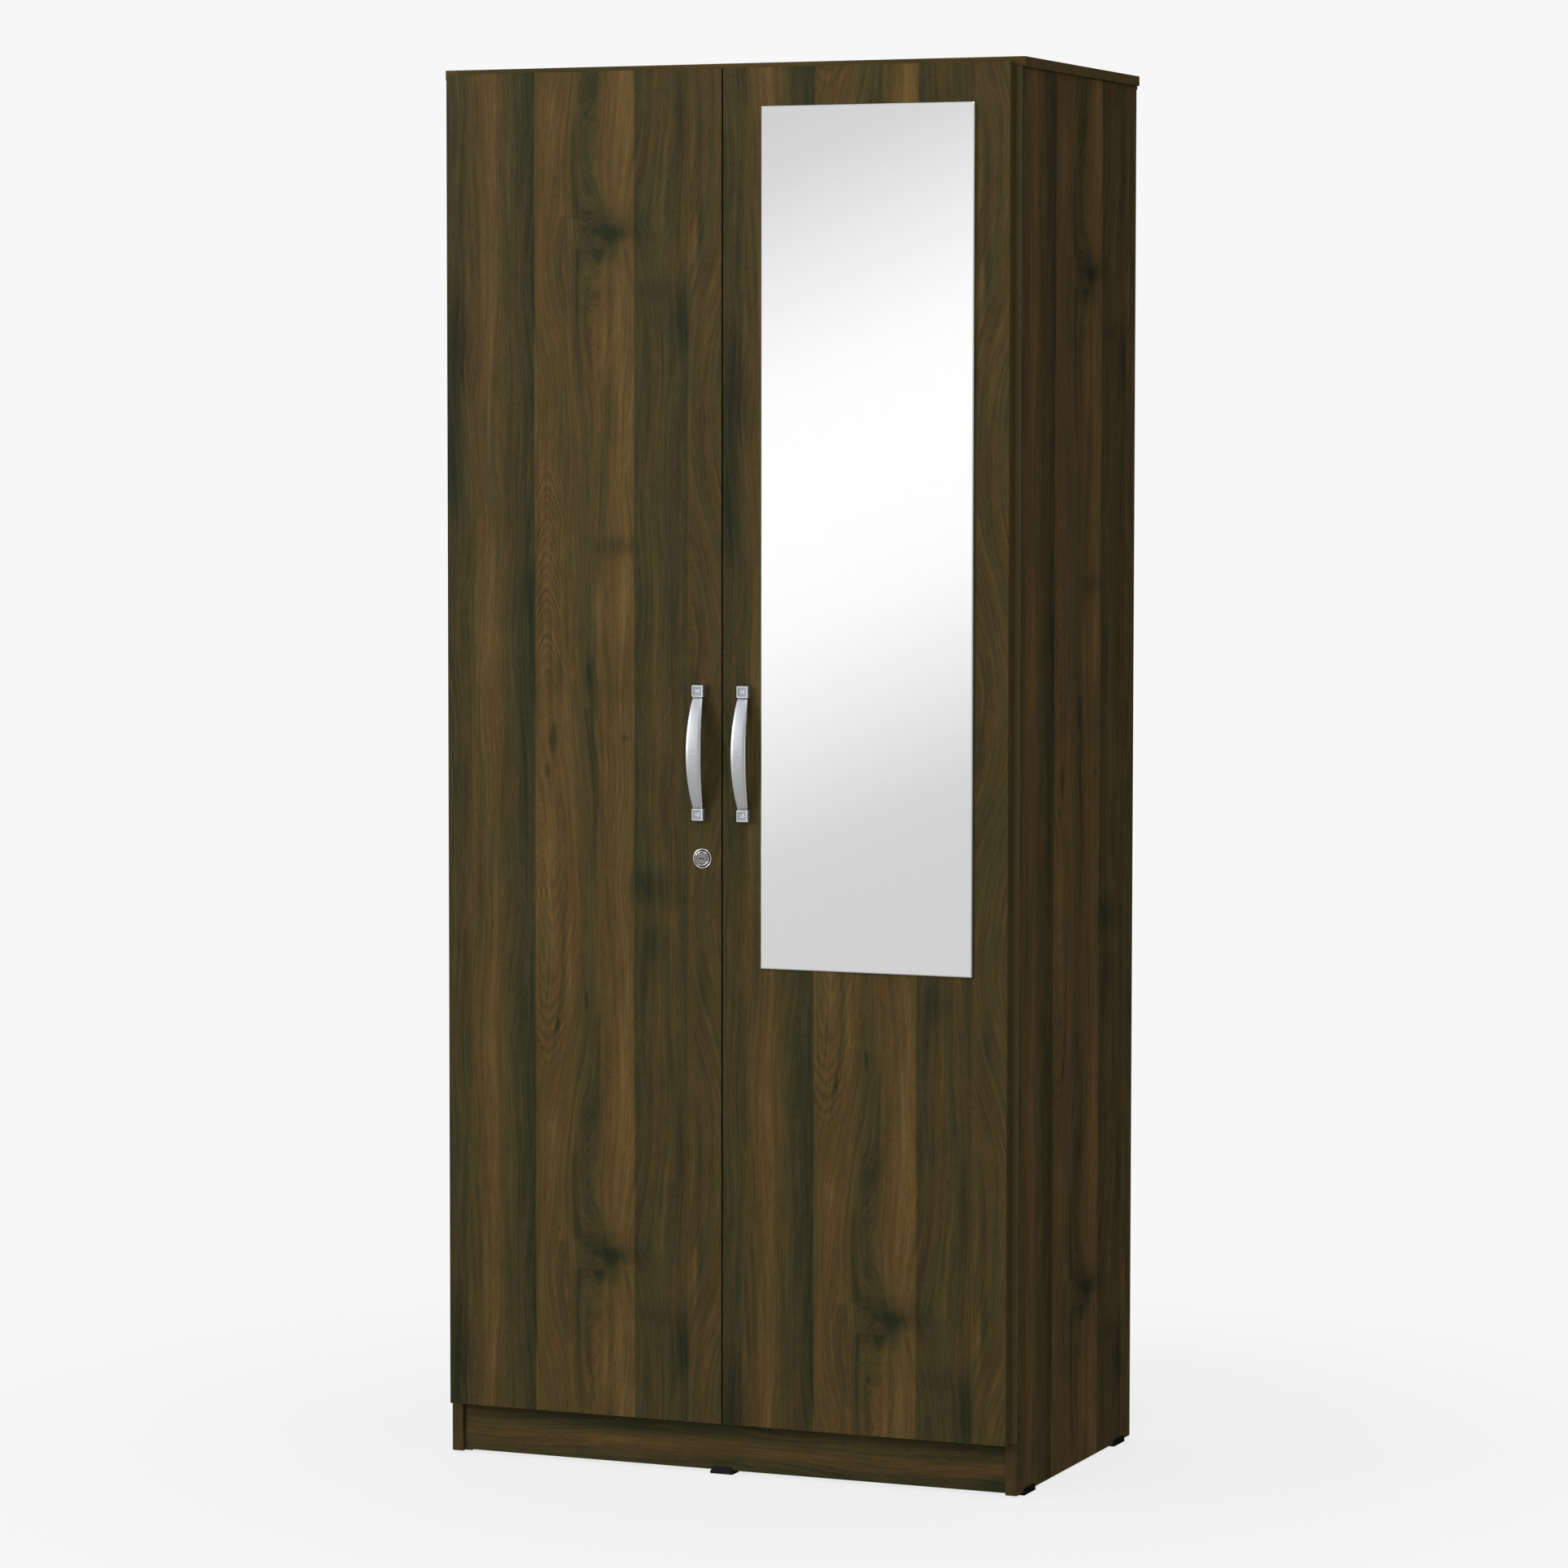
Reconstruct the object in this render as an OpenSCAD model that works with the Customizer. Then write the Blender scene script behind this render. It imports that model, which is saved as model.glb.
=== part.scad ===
// Two-door wardrobe with a mirror on the right door, a lock on the left door,
// shelves on the left and a hanging space on the right.
// The origin is on the floor, in the middle of the outside box.
// +X is to the right as seen from the front, +Y is towards the back and +Z is up.
// Inside the modules y = 0 is the plane of the side panels' front edges.

/* [Carcass] */
// Width over the two side panels
body_w = 800; // [740:2:900]
// Height from the floor to the top face
body_h = 1831; // [1780:1:1900]
// Depth of the side panels
carcass_d = 447; // [420:1:560]
// Thickness of sides, partition, bottom, shelves and plinths
board_t = 16; // [16:1:18]
// Thickness of the top panel
top_t = 13; // [13:1:18]
// Overhang of the top panel past each side panel
top_over = 4; // [0:1:8]
// Height of the front plinth's top edge above the floor
plinth_top = 73; // [73:1:90]
// Setback of the front plinth behind the side panels' front edges
plinth_in = 4.5; // [3:0.5:12]
// Thickness of the back boards
back_t = 3; // [3:0.5:4]
// Height of the glides under the side panels
foot_h = 3; // [2:0.5:6]

/* [Doors] */
// Thickness of a door
door_t = 18; // [16:1:20]
// Space between a door's back and the carcass
door_gap = 4; // [4:0.5:6]
// Space between the two doors
door_clear = 2; // [2:0.5:4]
// Distance from a door's outer edge to the outside of the side panel
door_side_in = 7.5; // [7:0.5:9]
// Height of the doors' lower edge above the floor
door_z0 = 70.5; // [68:0.5:71.5]
// Distance from the doors' upper edge to the top face
door_top_in = 7; // [4:1:10]

/* [Mirror] */
// Width of the mirror
mirror_w = 290; // [200:1:300]
// Height of the mirror
mirror_h = 1105; // [600:1:1110]
// Distance from the mirror to the right door's free edge
mirror_edge = 54.5; // [50:0.5:60]
// Height of the mirror's lower edge above the floor
mirror_z0 = 669; // [640:1:669]
// Thickness of the mirror glass
mirror_t = 3.2; // [3:0.1:4]

/* [Handles and lock] */
// Distance between a handle's two screws
handle_pitch = 160; // [128:32:160]
// Distance from a handle's centre line to the middle of the wardrobe
handle_x = 31.4; // [30:0.1:34]
// Height of a handle's middle above the floor
handle_z = 945.5; // [940:0.5:960]
// How far a handle stands out from the door
handle_out = 24.5; // [20:0.5:28]
// Distance from the lock's axis to the middle of the wardrobe
lock_x = 27.5; // [27:0.5:29]
// Height of the lock's axis above the floor
lock_z = 808.5; // [805:0.5:812]
// Travel of the lock's bolt
bolt_throw = 8; // [7:0.5:8]

/* [Inside] */
// Number of adjustable shelves on the left
shelf_count = 3; // [3:1:3]
// Height of the fixed upper shelves' lower face above the floor
upper_shelf_z = 1500; // [1480:1:1540]
// Setback of the shelves' front edges
shelf_in = 20; // [20:1:40]
// Distance from the upper shelf down to the hanging rail's axis
rail_drop = 60; // [50:1:90]
// Number of hinges on each door
hinge_count = 4; // [4:1:4]

/* [Hidden] */

$fn = 48;
eps = 0.01;

// Colours
walnut = [0.27, 0.22, 0.14];
walnut_side = [0.22, 0.18, 0.11];
inner_board = [0.32, 0.27, 0.19];
board_brown = [0.45, 0.34, 0.24];
black_plastic = [0.03, 0.03, 0.03];
satin_metal = [0.72, 0.73, 0.75];
bright_metal = [0.82, 0.82, 0.84];
zinc = [0.62, 0.63, 0.65];
silvered = [0.85, 0.86, 0.87];
clear_pad = [0.85, 0.85, 0.82];

// Carcass places
strip_d = 4;
y_span = handle_out + door_t + door_gap + carcass_d + strip_d;
y_front = handle_out + door_t + door_gap - y_span / 2;
top_z = body_h - top_t;
side_out = body_w / 2;
side_in = side_out - board_t;
part_half = board_t / 2;
back_y = carcass_d - 6;
groove_play = 0.2;
groove_deep = 6;
groove_y = [back_y - groove_play, back_y + back_t + groove_play];
panel_rear = back_y - 1;
floor_top = plinth_top + board_t;
plinth_z0 = foot_h + 2;

// Door places
door_out = side_out - door_side_in;
door_z1 = body_h - door_top_in;
door_back = -door_gap;
door_front = -door_gap - door_t;

// Hinge places: the pin runs up the inside of each cup near the door's outer edge
pin_in = 7.5;
pin_deep = 7.5;
pin_r = 1.25;
pin_half = 9.2;
bore_play = 0.05;
cup_r = 17.5;
cup_wall = 0.8;
cup_deep = 11.5;
cup_edge = 3;
flange_t = 1.2;
cup_x = door_out - cup_edge - cup_r;
hinge_x = door_out - pin_in;
hinge_y = door_back - pin_deep;
arm_run = 11;
arm_t = 2;
arm_half = 5.5;
arm_x = hinge_x - arm_run - arm_t / 2;
arm_end = 62;
plate_y = [18, 60];
wing_y = 37;
hinge_end = 100;
hinge_step = (door_z1 - door_z0 - 2 * hinge_end) / (hinge_count - 1);
hinge_zs = [for (i = [0 : hinge_count - 1]) door_z0 + hinge_end + i * hinge_step];
cup_screw_x = cup_x - 9.5;
cup_screw_dz = 24;
wing_screw_dz = 16;
arm_screw_ys = [26, 50];

// Shelf places
shelf_step = (upper_shelf_z - floor_top - shelf_count * board_t) / (shelf_count + 1) + board_t;
shelf_zs = [for (i = [1 : shelf_count]) floor_top + i * shelf_step - board_t];
shelf_pin_r = 2.45;
shelf_pin_hole_r = 2.5;
shelf_pin_deep = 7.3;
shelf_pin_ys = [60, 380];
shelf_play = 0.5;

// Rail places
rail_r = 12.5;
rail_wall = 1.2;
rail_y = 222;
rail_z = upper_shelf_z - rail_drop;
socket_screw_dz = 18.5;

// Cam fittings
cam_r = 7.4;
cam_hole_r = 7.5;
cam_deep = 12.5;
cam_bolt_r = 3.5;
cam_down = 24;
cam_ys = [70, 380];
cam_under_x = side_in - cam_down;

// Handle sizes
block_w = 16;
block_h = 16;
block_d = 9;
strap_w = 21;
strap_end_w = 15;
strap_t = 3.5;
strap_half = handle_pitch / 2 - block_h / 2;
strap_sunk = 0.6;
strap_rise = handle_out - block_d + strap_sunk;
strap_r = (pow(strap_half, 2) + pow(strap_rise, 2)) / (2 * strap_rise);
waist = (strap_w - strap_end_w) / 2;
waist_r = (pow(strap_half, 2) + pow(waist, 2)) / (2 * waist);
handle_screw_r = 2;

// Lock sizes
lock_face_r = 12.9;
lock_barrel_r = 9.5;
lock_hole_r = 9.8;
plug_r = 6.5;
crank_r = bolt_throw / sqrt(2);
crank_pin_r = 1.5;
crank_disc_r = 8.2;
case_x = [-lock_x - 22, -10.5];
case_y = [door_back, 12];
case_dz = 18;
bolt_x = [-lock_x - 18, -10.6];
bolt_y = [5, 10];
bolt_dz = 9.5;
bolt_play = 0.4;
strike_t = 1.2;
strike_y = [1, 24];
strike_dz = 26;
strike_slot_y = [4, 11];
strike_slot_dz = 10.7;
strike_screw_dz = 19;
strike_screw_y = 7.5;
mortise_deep = 6.6;

// Box between two limits on each axis
module span(x, y, z) {
    translate([x[0], y[0], z[0]])
        cube([x[1] - x[0], y[1] - y[0], z[1] - z[0]]);
}

// Round bars along X, Y and Z, between two limits
module bar_x(r, x, y, z) {
    translate([x[0], y, z]) rotate([0, 90, 0]) cylinder(r = r, h = x[1] - x[0]);
}
module bar_y(r, x, y, z) {
    translate([x, y[1], z]) rotate([90, 0, 0]) cylinder(r = r, h = y[1] - y[0]);
}
module bar_z(r, x, y, z) {
    translate([x, y, z[0]]) cylinder(r = r, h = z[1] - z[0]);
}

// Moves a shape from the carcass plane into the model's frame
module placed() {
    translate([0, y_front, 0]) children();
}

// Shapes are drawn for the right side; side = -1 puts them on the left
module on_side(side) {
    placed() {
        if (side > 0) children();
        else mirror([1, 0, 0]) children();
    }
}

// Cross recess of a screw head whose face looks along +Y at y
module cross_y(x, y, z, size) {
    span([x - size, x + size], [y - 0.9, y + 1], [z - 0.4, z + 0.4]);
    span([x - 0.4, x + 0.4], [y - 0.9, y + 1], [z - size, z + size]);
}

// Cross recess of a screw head whose face looks along -X at x
module cross_x(x, y, z, size) {
    span([x - 1, x + 0.9], [y - size, y + size], [z - 0.4, z + 0.4]);
    span([x - 1, x + 0.9], [y - 0.4, y + 0.4], [z - size, z + size]);
}

// ---- Carcass ----

// Holes of the cam fittings in a right side panel
module side_cam_holes() {
    for (y = cam_ys) {
        bar_x(cam_hole_r, [side_in - eps, side_in + cam_deep], y, top_z - cam_down);
        bar_z(cam_bolt_r + bore_play, side_in + board_t / 2, y, [top_z - cam_down, top_z + eps]);
        bar_x(cam_bolt_r + bore_play, [side_in - eps, side_in + 9], y, plinth_top + board_t / 2);
    }
}

module side_blank() {
    difference() {
        span([side_in, side_out], [0, carcass_d], [foot_h, top_z]);
        span([side_in - 1, side_in + groove_deep], groove_y, [foot_h + 15, top_z + 1]);
        side_cam_holes();
        for (z = hinge_zs)
            for (s = [-1, 1])
                bar_x(2.05, [side_in - eps, side_in + 11], wing_y, z + s * wing_screw_dz);
    }
}

// Holes of one shelf's pins in the face at x, bored towards dir
module pin_holes(x, dir, z) {
    far = x + dir * (shelf_pin_deep + 0.2);
    for (y = shelf_pin_ys)
        bar_x(shelf_pin_hole_r, [min(x - dir * eps, far), max(x - dir * eps, far)], y, z - shelf_pin_hole_r);
}

module left_side_panel() {
    color(walnut_side) on_side(-1) difference() {
        side_blank();
        for (z = concat(shelf_zs, [upper_shelf_z])) pin_holes(side_in, 1, z);
    }
}

module right_side_panel() {
    color(walnut_side) on_side(1) difference() {
        side_blank();
        pin_holes(side_in, 1, upper_shelf_z);
        socket_screw_holes(side_in, 1);
    }
}

module top_panel() {
    half = side_out + top_over;
    color(walnut) placed() difference() {
        span([-half, half], [0, carcass_d], [top_z, body_h]);
        span([-side_in - groove_deep - 1, side_in + groove_deep + 1], groove_y, [top_z - 1, top_z + 5]);
        for (s = [-1, 1])
            for (y = cam_ys)
                bar_z(cam_bolt_r + bore_play, s * (side_in + board_t / 2), y, [top_z - eps, top_z + 8.2]);
    }
}

module bottom_panel() {
    color(inner_board) placed() difference() {
        span([-side_in, side_in], [0, panel_rear], [plinth_top, floor_top]);
        for (s = [-1, 1])
            for (y = cam_ys) {
                bar_z(cam_hole_r, s * cam_under_x, y, [plinth_top - eps, plinth_top + cam_deep]);
                bar_x(cam_bolt_r + bore_play, s > 0 ? [cam_under_x, side_in + 1] : [-side_in - 1, -cam_under_x],
                    y, plinth_top + board_t / 2);
            }
        for (s = [-1, 1]) nail_holes(s);
    }
}

module centre_partition() {
    color(inner_board) placed() difference() {
        span([-part_half, part_half], [0, panel_rear - 0.5], [floor_top, top_z]);
        for (z = concat(shelf_zs, [upper_shelf_z])) pin_holes(-part_half, 1, z);
        pin_holes(part_half, -1, upper_shelf_z);
        socket_screw_holes(part_half, -1);
        span([-part_half - 1, -part_half + strike_t], strike_y, [lock_z - strike_dz, lock_z + strike_dz]);
        span([-part_half - 1, -part_half + mortise_deep], strike_slot_y,
            [lock_z - strike_slot_dz, lock_z + strike_slot_dz]);
        for (s = [-1, 1])
            bar_x(1.45, [-part_half, -part_half + 8], strike_screw_y, lock_z + s * strike_screw_dz);
    }
}

module front_plinth() {
    color(walnut) placed()
        span([-side_in, side_in], [plinth_in, plinth_in + board_t], [plinth_z0, plinth_top]);
}

module rear_plinth() {
    color(walnut) placed()
        span([-side_in, side_in], [panel_rear - board_t, panel_rear], [plinth_z0, plinth_top]);
}

nail_xs = [for (i = [0 : 3]) 45 + i * 98];
nail_z = plinth_top + board_t / 2;

module nail_holes(s) {
    for (x = nail_xs) bar_y(1, s * x, [panel_rear - 12, carcass_d], nail_z);
}

module back_board(side) {
    color(board_brown) on_side(side) difference() {
        span([1.5, side_in + groove_deep - 0.5], [back_y, back_y + back_t], [foot_h + 17, top_z + 4.5]);
        nail_holes(1);
    }
}

module left_back_board() { back_board(-1); }
module right_back_board() { back_board(1); }

// H-shaped strip that joins the two back boards behind the partition
module back_joiner() {
    z = [floor_top + 1, top_z - 1];
    color(black_plastic) placed() {
        span([-9, 9], [back_y - 1.3, back_y - 0.1], z);
        span([-1.2, 1.2], [back_y - 0.2, back_y + back_t + 0.2], z);
        span([-9, 9], [back_y + back_t + 0.1, back_y + back_t + 1.3], z);
    }
}

// Black strip behind the side panels, just under the top panel
module back_top_strip() {
    z = [top_z - 4.5, top_z];
    color(black_plastic) placed() {
        span([-side_out + 0.5, side_out - 0.5], [carcass_d, carcass_d + strip_d], z);
        span([-side_in + 1, side_in - 1], [back_y + back_t + 1.5, carcass_d + eps], z);
    }
}

module back_nails() {
    color(zinc) placed()
        for (s = [-1, 1])
            for (x = nail_xs) {
                bar_y(0.9, s * x, [panel_rear - 11, back_y + back_t + 0.2], nail_z);
                bar_y(2.5, s * x, [back_y + back_t, back_y + back_t + 0.8], nail_z);
            }
}

// ---- Shelves and rail ----

module shelf(side, z) {
    color(inner_board) on_side(side)
        span([part_half + shelf_play, side_in - shelf_play], [shelf_in, panel_rear - 1.5], [z, z + board_t]);
}

module left_shelf_1() { shelf(-1, shelf_zs[0]); }
module left_shelf_2() { shelf(-1, shelf_zs[1]); }
module left_shelf_3() { shelf(-1, shelf_zs[2]); }
module left_upper_shelf() { shelf(-1, upper_shelf_z); }
module right_upper_shelf() { shelf(1, upper_shelf_z); }

// The four pins of one shelf, drawn for the right compartment
module pins_of_shelf(z) {
    for (y = shelf_pin_ys)
        for (x = [part_half, side_in])
            bar_x(shelf_pin_r, [x - shelf_pin_deep, x + shelf_pin_deep], y, z - shelf_pin_hole_r);
}

module shelf_pins() {
    color(zinc) {
        on_side(-1) for (z = concat(shelf_zs, [upper_shelf_z])) pins_of_shelf(z);
        on_side(1) pins_of_shelf(upper_shelf_z);
    }
}

module hanging_rail() {
    x = [part_half + 3, side_in - 3];
    color(bright_metal) placed() difference() {
        bar_x(rail_r, x, rail_y, rail_z);
        bar_x(rail_r - rail_wall, [x[0] - 1, x[1] + 1], rail_y, rail_z);
    }
}

// Holes of a rail socket's screws in the face at x, bored towards dir
module socket_screw_holes(x, dir) {
    far = x + dir * 7.5;
    for (s = [-1, 1])
        bar_x(1.75, [min(x - dir * eps, far), max(x - dir * eps, far)], rail_y, rail_z + s * socket_screw_dz);
}

// Socket on the face at x = 0, its mouth looking along -X
module rail_socket() {
    difference() {
        union() {
            bar_x(23.5, [-2.5, 0], 0, 0);
            bar_x(15, [-14, 0], 0, 0);
        }
        bar_x(rail_r + 0.1, [-15, -2.5], 0, 0);
        for (s = [-1, 1]) bar_x(1.9, [-3, 1], 0, s * socket_screw_dz);
    }
}

module left_rail_socket() {
    color(bright_metal) placed()
        translate([part_half, rail_y, rail_z]) mirror([1, 0, 0]) rail_socket();
}

module right_rail_socket() {
    color(bright_metal) placed() translate([side_in, rail_y, rail_z]) rail_socket();
}

// One socket screw in a panel face at x = 0, its head looking along -X
module socket_screw() {
    difference() {
        union() {
            bar_x(1.7, [-2.6, 7], 0, 0);
            bar_x(3.2, [-4, -2.5], 0, 0);
        }
        cross_x(-4, 0, 0, 2);
    }
}

module rail_socket_screws() {
    color(zinc) placed()
        for (s = [-1, 1]) {
            translate([side_in, rail_y, rail_z + s * socket_screw_dz]) socket_screw();
            translate([part_half, rail_y, rail_z + s * socket_screw_dz]) mirror([1, 0, 0]) socket_screw();
        }
}

// ---- Glides ----

glide_side_w = 2;
glide_up = 5;

// Glide that wraps the lower edge of a side panel, from y0 to y0 + run
module side_glide(side, y0, run) {
    top = foot_h + glide_up;
    color(black_plastic) on_side(side) difference() {
        translate([side_in - glide_side_w, 0, 0]) rotate([90, 0, 90])
            linear_extrude(board_t + 2 * glide_side_w)
                polygon([[y0 + 1, 0], [y0 + run - 1, 0], [y0 + run, 1.5], [y0 + run - 4, top],
                    [y0 + 4, top], [y0, 1.5]]);
        span([side_in, side_out], [y0 - 1, y0 + run + 1], [foot_h, top + 1]);
    }
}

front_glide_y = 22;
rear_glide_y = 376;
glide_run = 44;

module left_front_glide() { side_glide(-1, front_glide_y, glide_run); }
module left_rear_glide() { side_glide(-1, rear_glide_y, glide_run); }
module right_front_glide() { side_glide(1, front_glide_y, glide_run); }
module right_rear_glide() { side_glide(1, rear_glide_y, glide_run); }

// Glide that wraps the lower edge of a plinth whose front face is at y0
module plinth_glide(y0) {
    half = 16.4;
    top = 9.5;
    shift = -11;
    color(black_plastic) placed() difference() {
        translate([shift, y0 + board_t + 2.5, 0]) rotate([90, 0, 0])
            linear_extrude(board_t + 5)
                polygon([[1 - half, 0], [half - 1, 0], [half, 1.5], [half - 0.6, 3.5], [half - 4.5, top - 0.7],
                    [half - 5.5, top], [5.5 - half, top], [4.5 - half, top - 0.7], [0.6 - half, 3.5],
                    [-half, 1.5]]);
        span([shift - half - 1, shift + half + 1], [y0, y0 + board_t], [plinth_z0, top + 1]);
    }
}

module centre_front_glide() { plinth_glide(plinth_in); }
module centre_rear_glide() { plinth_glide(panel_rear - board_t); }

// ---- Cam fittings ----

// Slotted cam on the face at x = 0, its slot looking along -X
module cam_x() {
    difference() {
        bar_x(cam_r, [0.2, cam_deep - 0.3], 0, 0);
        span([-1, 2.5], [-4.5, 4.5], [-0.6, 0.6]);
        span([-1, 2.5], [-0.6, 0.6], [-4.5, 4.5]);
    }
}

module cam_locks() {
    color(zinc)
        for (side = [-1, 1])
            on_side(side)
                for (y = cam_ys) {
                    translate([side_in, y, top_z - cam_down]) cam_x();
                    translate([cam_under_x, y, plinth_top]) rotate([0, -90, 0]) cam_x();
                }
}

module cam_bolts() {
    color(zinc)
        for (side = [-1, 1])
            on_side(side)
                for (y = cam_ys) {
                    bar_z(cam_bolt_r, side_in + board_t / 2, y, [top_z - cam_down + cam_r + 0.2, top_z + 8]);
                    bar_x(cam_bolt_r, [cam_under_x + cam_r + 0.2, side_in + 8.8], y, plinth_top + board_t / 2);
                }
}

// ---- Doors ----

module door_blank() {
    difference() {
        span([door_clear / 2, door_out], [door_front, door_back], [door_z0, door_z1]);
        for (z = hinge_zs) {
            bar_y(cup_r + 0.1, cup_x, [door_back - cup_deep - 0.1, door_back + 1], z);
            for (s = [-1, 1])
                bar_y(1.65, cup_screw_x, [door_back - 10, door_back + 1], z + s * cup_screw_dz);
        }
        for (s = [-1, 1])
            bar_y(2.5, handle_x, [door_front - 1, door_back + 1], handle_z + s * handle_pitch / 2);
    }
}

lock_screw_dz = 13.5;

module left_door() {
    color(walnut) on_side(-1) difference() {
        door_blank();
        bar_y(lock_hole_r, lock_x, [door_front - 1, door_back + 1], lock_z);
        for (x = [case_x[0] + 5, case_x[1] - 5])
            for (s = [-1, 1])
                bar_y(1.45, -x, [door_back - 9, door_back + 1], lock_z + s * lock_screw_dz);
    }
}

module right_door() {
    color(walnut) on_side(1) door_blank();
}

// Soft pads between a door and the carcass
bumper_x = 4.6;
bumper_zs = [door_z0 + 60, door_z1 - 60];
module bumpers(side) {
    color(clear_pad) on_side(side)
        for (z = bumper_zs) bar_y(3, bumper_x, [door_back, -0.4], z);
}

module left_bumpers() { bumpers(-1); }
module right_bumpers() { bumpers(1); }

// Bow handle on a door's front, drawn about its own middle with the door face at y = 0
module strap() {
    intersection() {
        difference() {
            bar_x(strap_r, [-strap_w, strap_w], strap_r - handle_out, 0, $fn = 180);
            bar_x(strap_r - strap_t, [-strap_w - 1, strap_w + 1], strap_r - handle_out, 0, $fn = 180);
        }
        for_waist();
        span([-strap_w, strap_w], [-handle_out - 1, -1], [-strap_half - 1, strap_half + 1]);
    }
}

// Lens-shaped front outline of the strap
module for_waist() {
    intersection() {
        bar_y(waist_r, strap_w / 2 - waist_r, [-handle_out - 2, 0], 0, $fn = 360);
        bar_y(waist_r, waist_r - strap_w / 2, [-handle_out - 2, 0], 0, $fn = 360);
    }
}

module handle(side) {
    color(satin_metal) on_side(side) translate([handle_x, door_front, handle_z]) difference() {
        union() {
            strap();
            for (s = [-1, 1])
                span([-block_w / 2, block_w / 2], [-block_d, 0],
                    [s * handle_pitch / 2 - block_h / 2, s * handle_pitch / 2 + block_h / 2]);
        }
        for (s = [-1, 1]) {
            bar_y(handle_screw_r + bore_play, 0, [-6.5, 1], s * handle_pitch / 2);
            span([-2.5, 2.5], [-block_d - 1, 0.4 - block_d],
                [s * handle_pitch / 2 - 2.5, s * handle_pitch / 2 + 2.5]);
        }
    }
}

module left_handle() { handle(-1); }
module right_handle() { handle(1); }

module handle_screws(side) {
    color(zinc) on_side(side)
        for (s = [-1, 1])
            translate([handle_x, 0, handle_z + s * handle_pitch / 2]) difference() {
                union() {
                    bar_y(handle_screw_r, 0, [door_front - 6, door_back], 0);
                    bar_y(4, 0, [door_back, door_back + 2.2], 0);
                }
                cross_y(0, door_back + 2.2, 0, 2.4);
            }
}

module left_handle_screws() { handle_screws(-1); }
module right_handle_screws() { handle_screws(1); }

// ---- Mirror ----

tape_t = 0.8;
mirror_x = [door_clear / 2 + mirror_edge, door_clear / 2 + mirror_edge + mirror_w];

module mirror_glass() {
    color(silvered) placed()
        span(mirror_x, [door_front - tape_t - mirror_t, door_front - tape_t], [mirror_z0, mirror_z0 + mirror_h]);
}

module mirror_tape() {
    tape_w = 19;
    color(black_plastic) placed()
        for (i = [0 : 3]) {
            x = mirror_x[0] + 20 + i * (mirror_w - 40 - tape_w) / 3;
            span([x, x + tape_w], [door_front - tape_t, door_front], [mirror_z0 + 25, mirror_z0 + mirror_h - 25]);
        }
}

// ---- Hinges ----

// Cup with two lugs that hold the pin, drawn for the right door at height 0
module hinge_cup() {
    y_floor = door_back - cup_deep;
    lug_y = [y_floor, hinge_y + 2.6];
    difference() {
        union() {
            difference() {
                bar_y(cup_r, cup_x, [y_floor, door_back], 0);
                bar_y(cup_r - cup_wall, cup_x, [y_floor + cup_wall, door_back + 1], 0);
            }
            intersection() {
                bar_y(cup_r - cup_wall / 2, cup_x, [y_floor, door_back], 0);
                for (s = [-1, 1])
                    span([hinge_x - 2.6, hinge_x + 2.4], lug_y, s > 0 ? [6.2, 9.6] : [-9.6, -6.2]);
            }
            difference() {
                span([cup_x - 14, cup_x + 13], [door_back, door_back + flange_t], [-30, 30]);
                bar_y(cup_r - cup_wall, cup_x, [door_back - 1, door_back + 2], 0);
                for (s = [-1, 1])
                    bar_y(1.8, cup_screw_x, [door_back - 1, door_back + 2], s * cup_screw_dz);
            }
        }
        bar_z(pin_r + bore_play, hinge_x, hinge_y, [-pin_half - 0.1, pin_half + 0.1]);
    }
}

module hinge_cups(side) {
    color(bright_metal) on_side(side)
        for (z = hinge_zs) translate([0, 0, z]) hinge_cup();
}

module left_hinge_cups() { hinge_cups(-1); }
module right_hinge_cups() { hinge_cups(1); }

module hinge_pins(side) {
    color(zinc) on_side(side)
        for (z = hinge_zs) bar_z(pin_r, hinge_x, hinge_y, [z - pin_half, z + pin_half]);
}

module left_hinge_pins() { hinge_pins(-1); }
module right_hinge_pins() { hinge_pins(1); }

// Arm from the pin out of the cup and back along the side panel
module hinge_arm() {
    side_y = [6, arm_end];
    difference() {
        union() {
            bar_z(2.2, hinge_x, hinge_y, [-arm_half, arm_half]);
            span([arm_x, hinge_x], [hinge_y - arm_t / 2, hinge_y + arm_t / 2], [-arm_half, arm_half]);
            span([arm_x, arm_x + arm_t], [hinge_y - arm_t / 2, side_y[0] + 1], [-arm_half, arm_half]);
            span([arm_x, arm_x + arm_t], side_y, [-7.2, 7.2]);
            for (s = [-1, 1])
                span([arm_x, arm_x + 6], side_y, s > 0 ? [5.8, 7.2] : [-7.2, -5.8]);
        }
        bar_z(pin_r + bore_play, hinge_x, hinge_y, [-arm_half - 1, arm_half + 1]);
        for (y = arm_screw_ys) bar_x(2.4, [arm_x - 1, arm_x + arm_t + 1], y, 0);
    }
}

module hinge_arms(side) {
    color(bright_metal) on_side(side)
        for (z = hinge_zs) translate([0, 0, z]) hinge_arm();
}

module left_hinge_arms() { hinge_arms(-1); }
module right_hinge_arms() { hinge_arms(1); }

module hinge_plate() {
    difference() {
        union() {
            span([arm_x + arm_t, side_in], plate_y, [-5.6, 5.6]);
            span([side_in - 2, side_in], [wing_y - 8, wing_y + 8], [-26, 26]);
        }
        for (s = [-1, 1]) bar_x(2.2, [side_in - 3, side_in + 1], wing_y, s * wing_screw_dz);
        for (y = arm_screw_ys) bar_x(2.1, [arm_x, arm_x + arm_t + 6.2], y, 0);
    }
}

module hinge_plates(side) {
    color(zinc) on_side(side)
        for (z = hinge_zs) translate([0, 0, z]) hinge_plate();
}

module left_hinge_plates() { hinge_plates(-1); }
module right_hinge_plates() { hinge_plates(1); }

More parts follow.
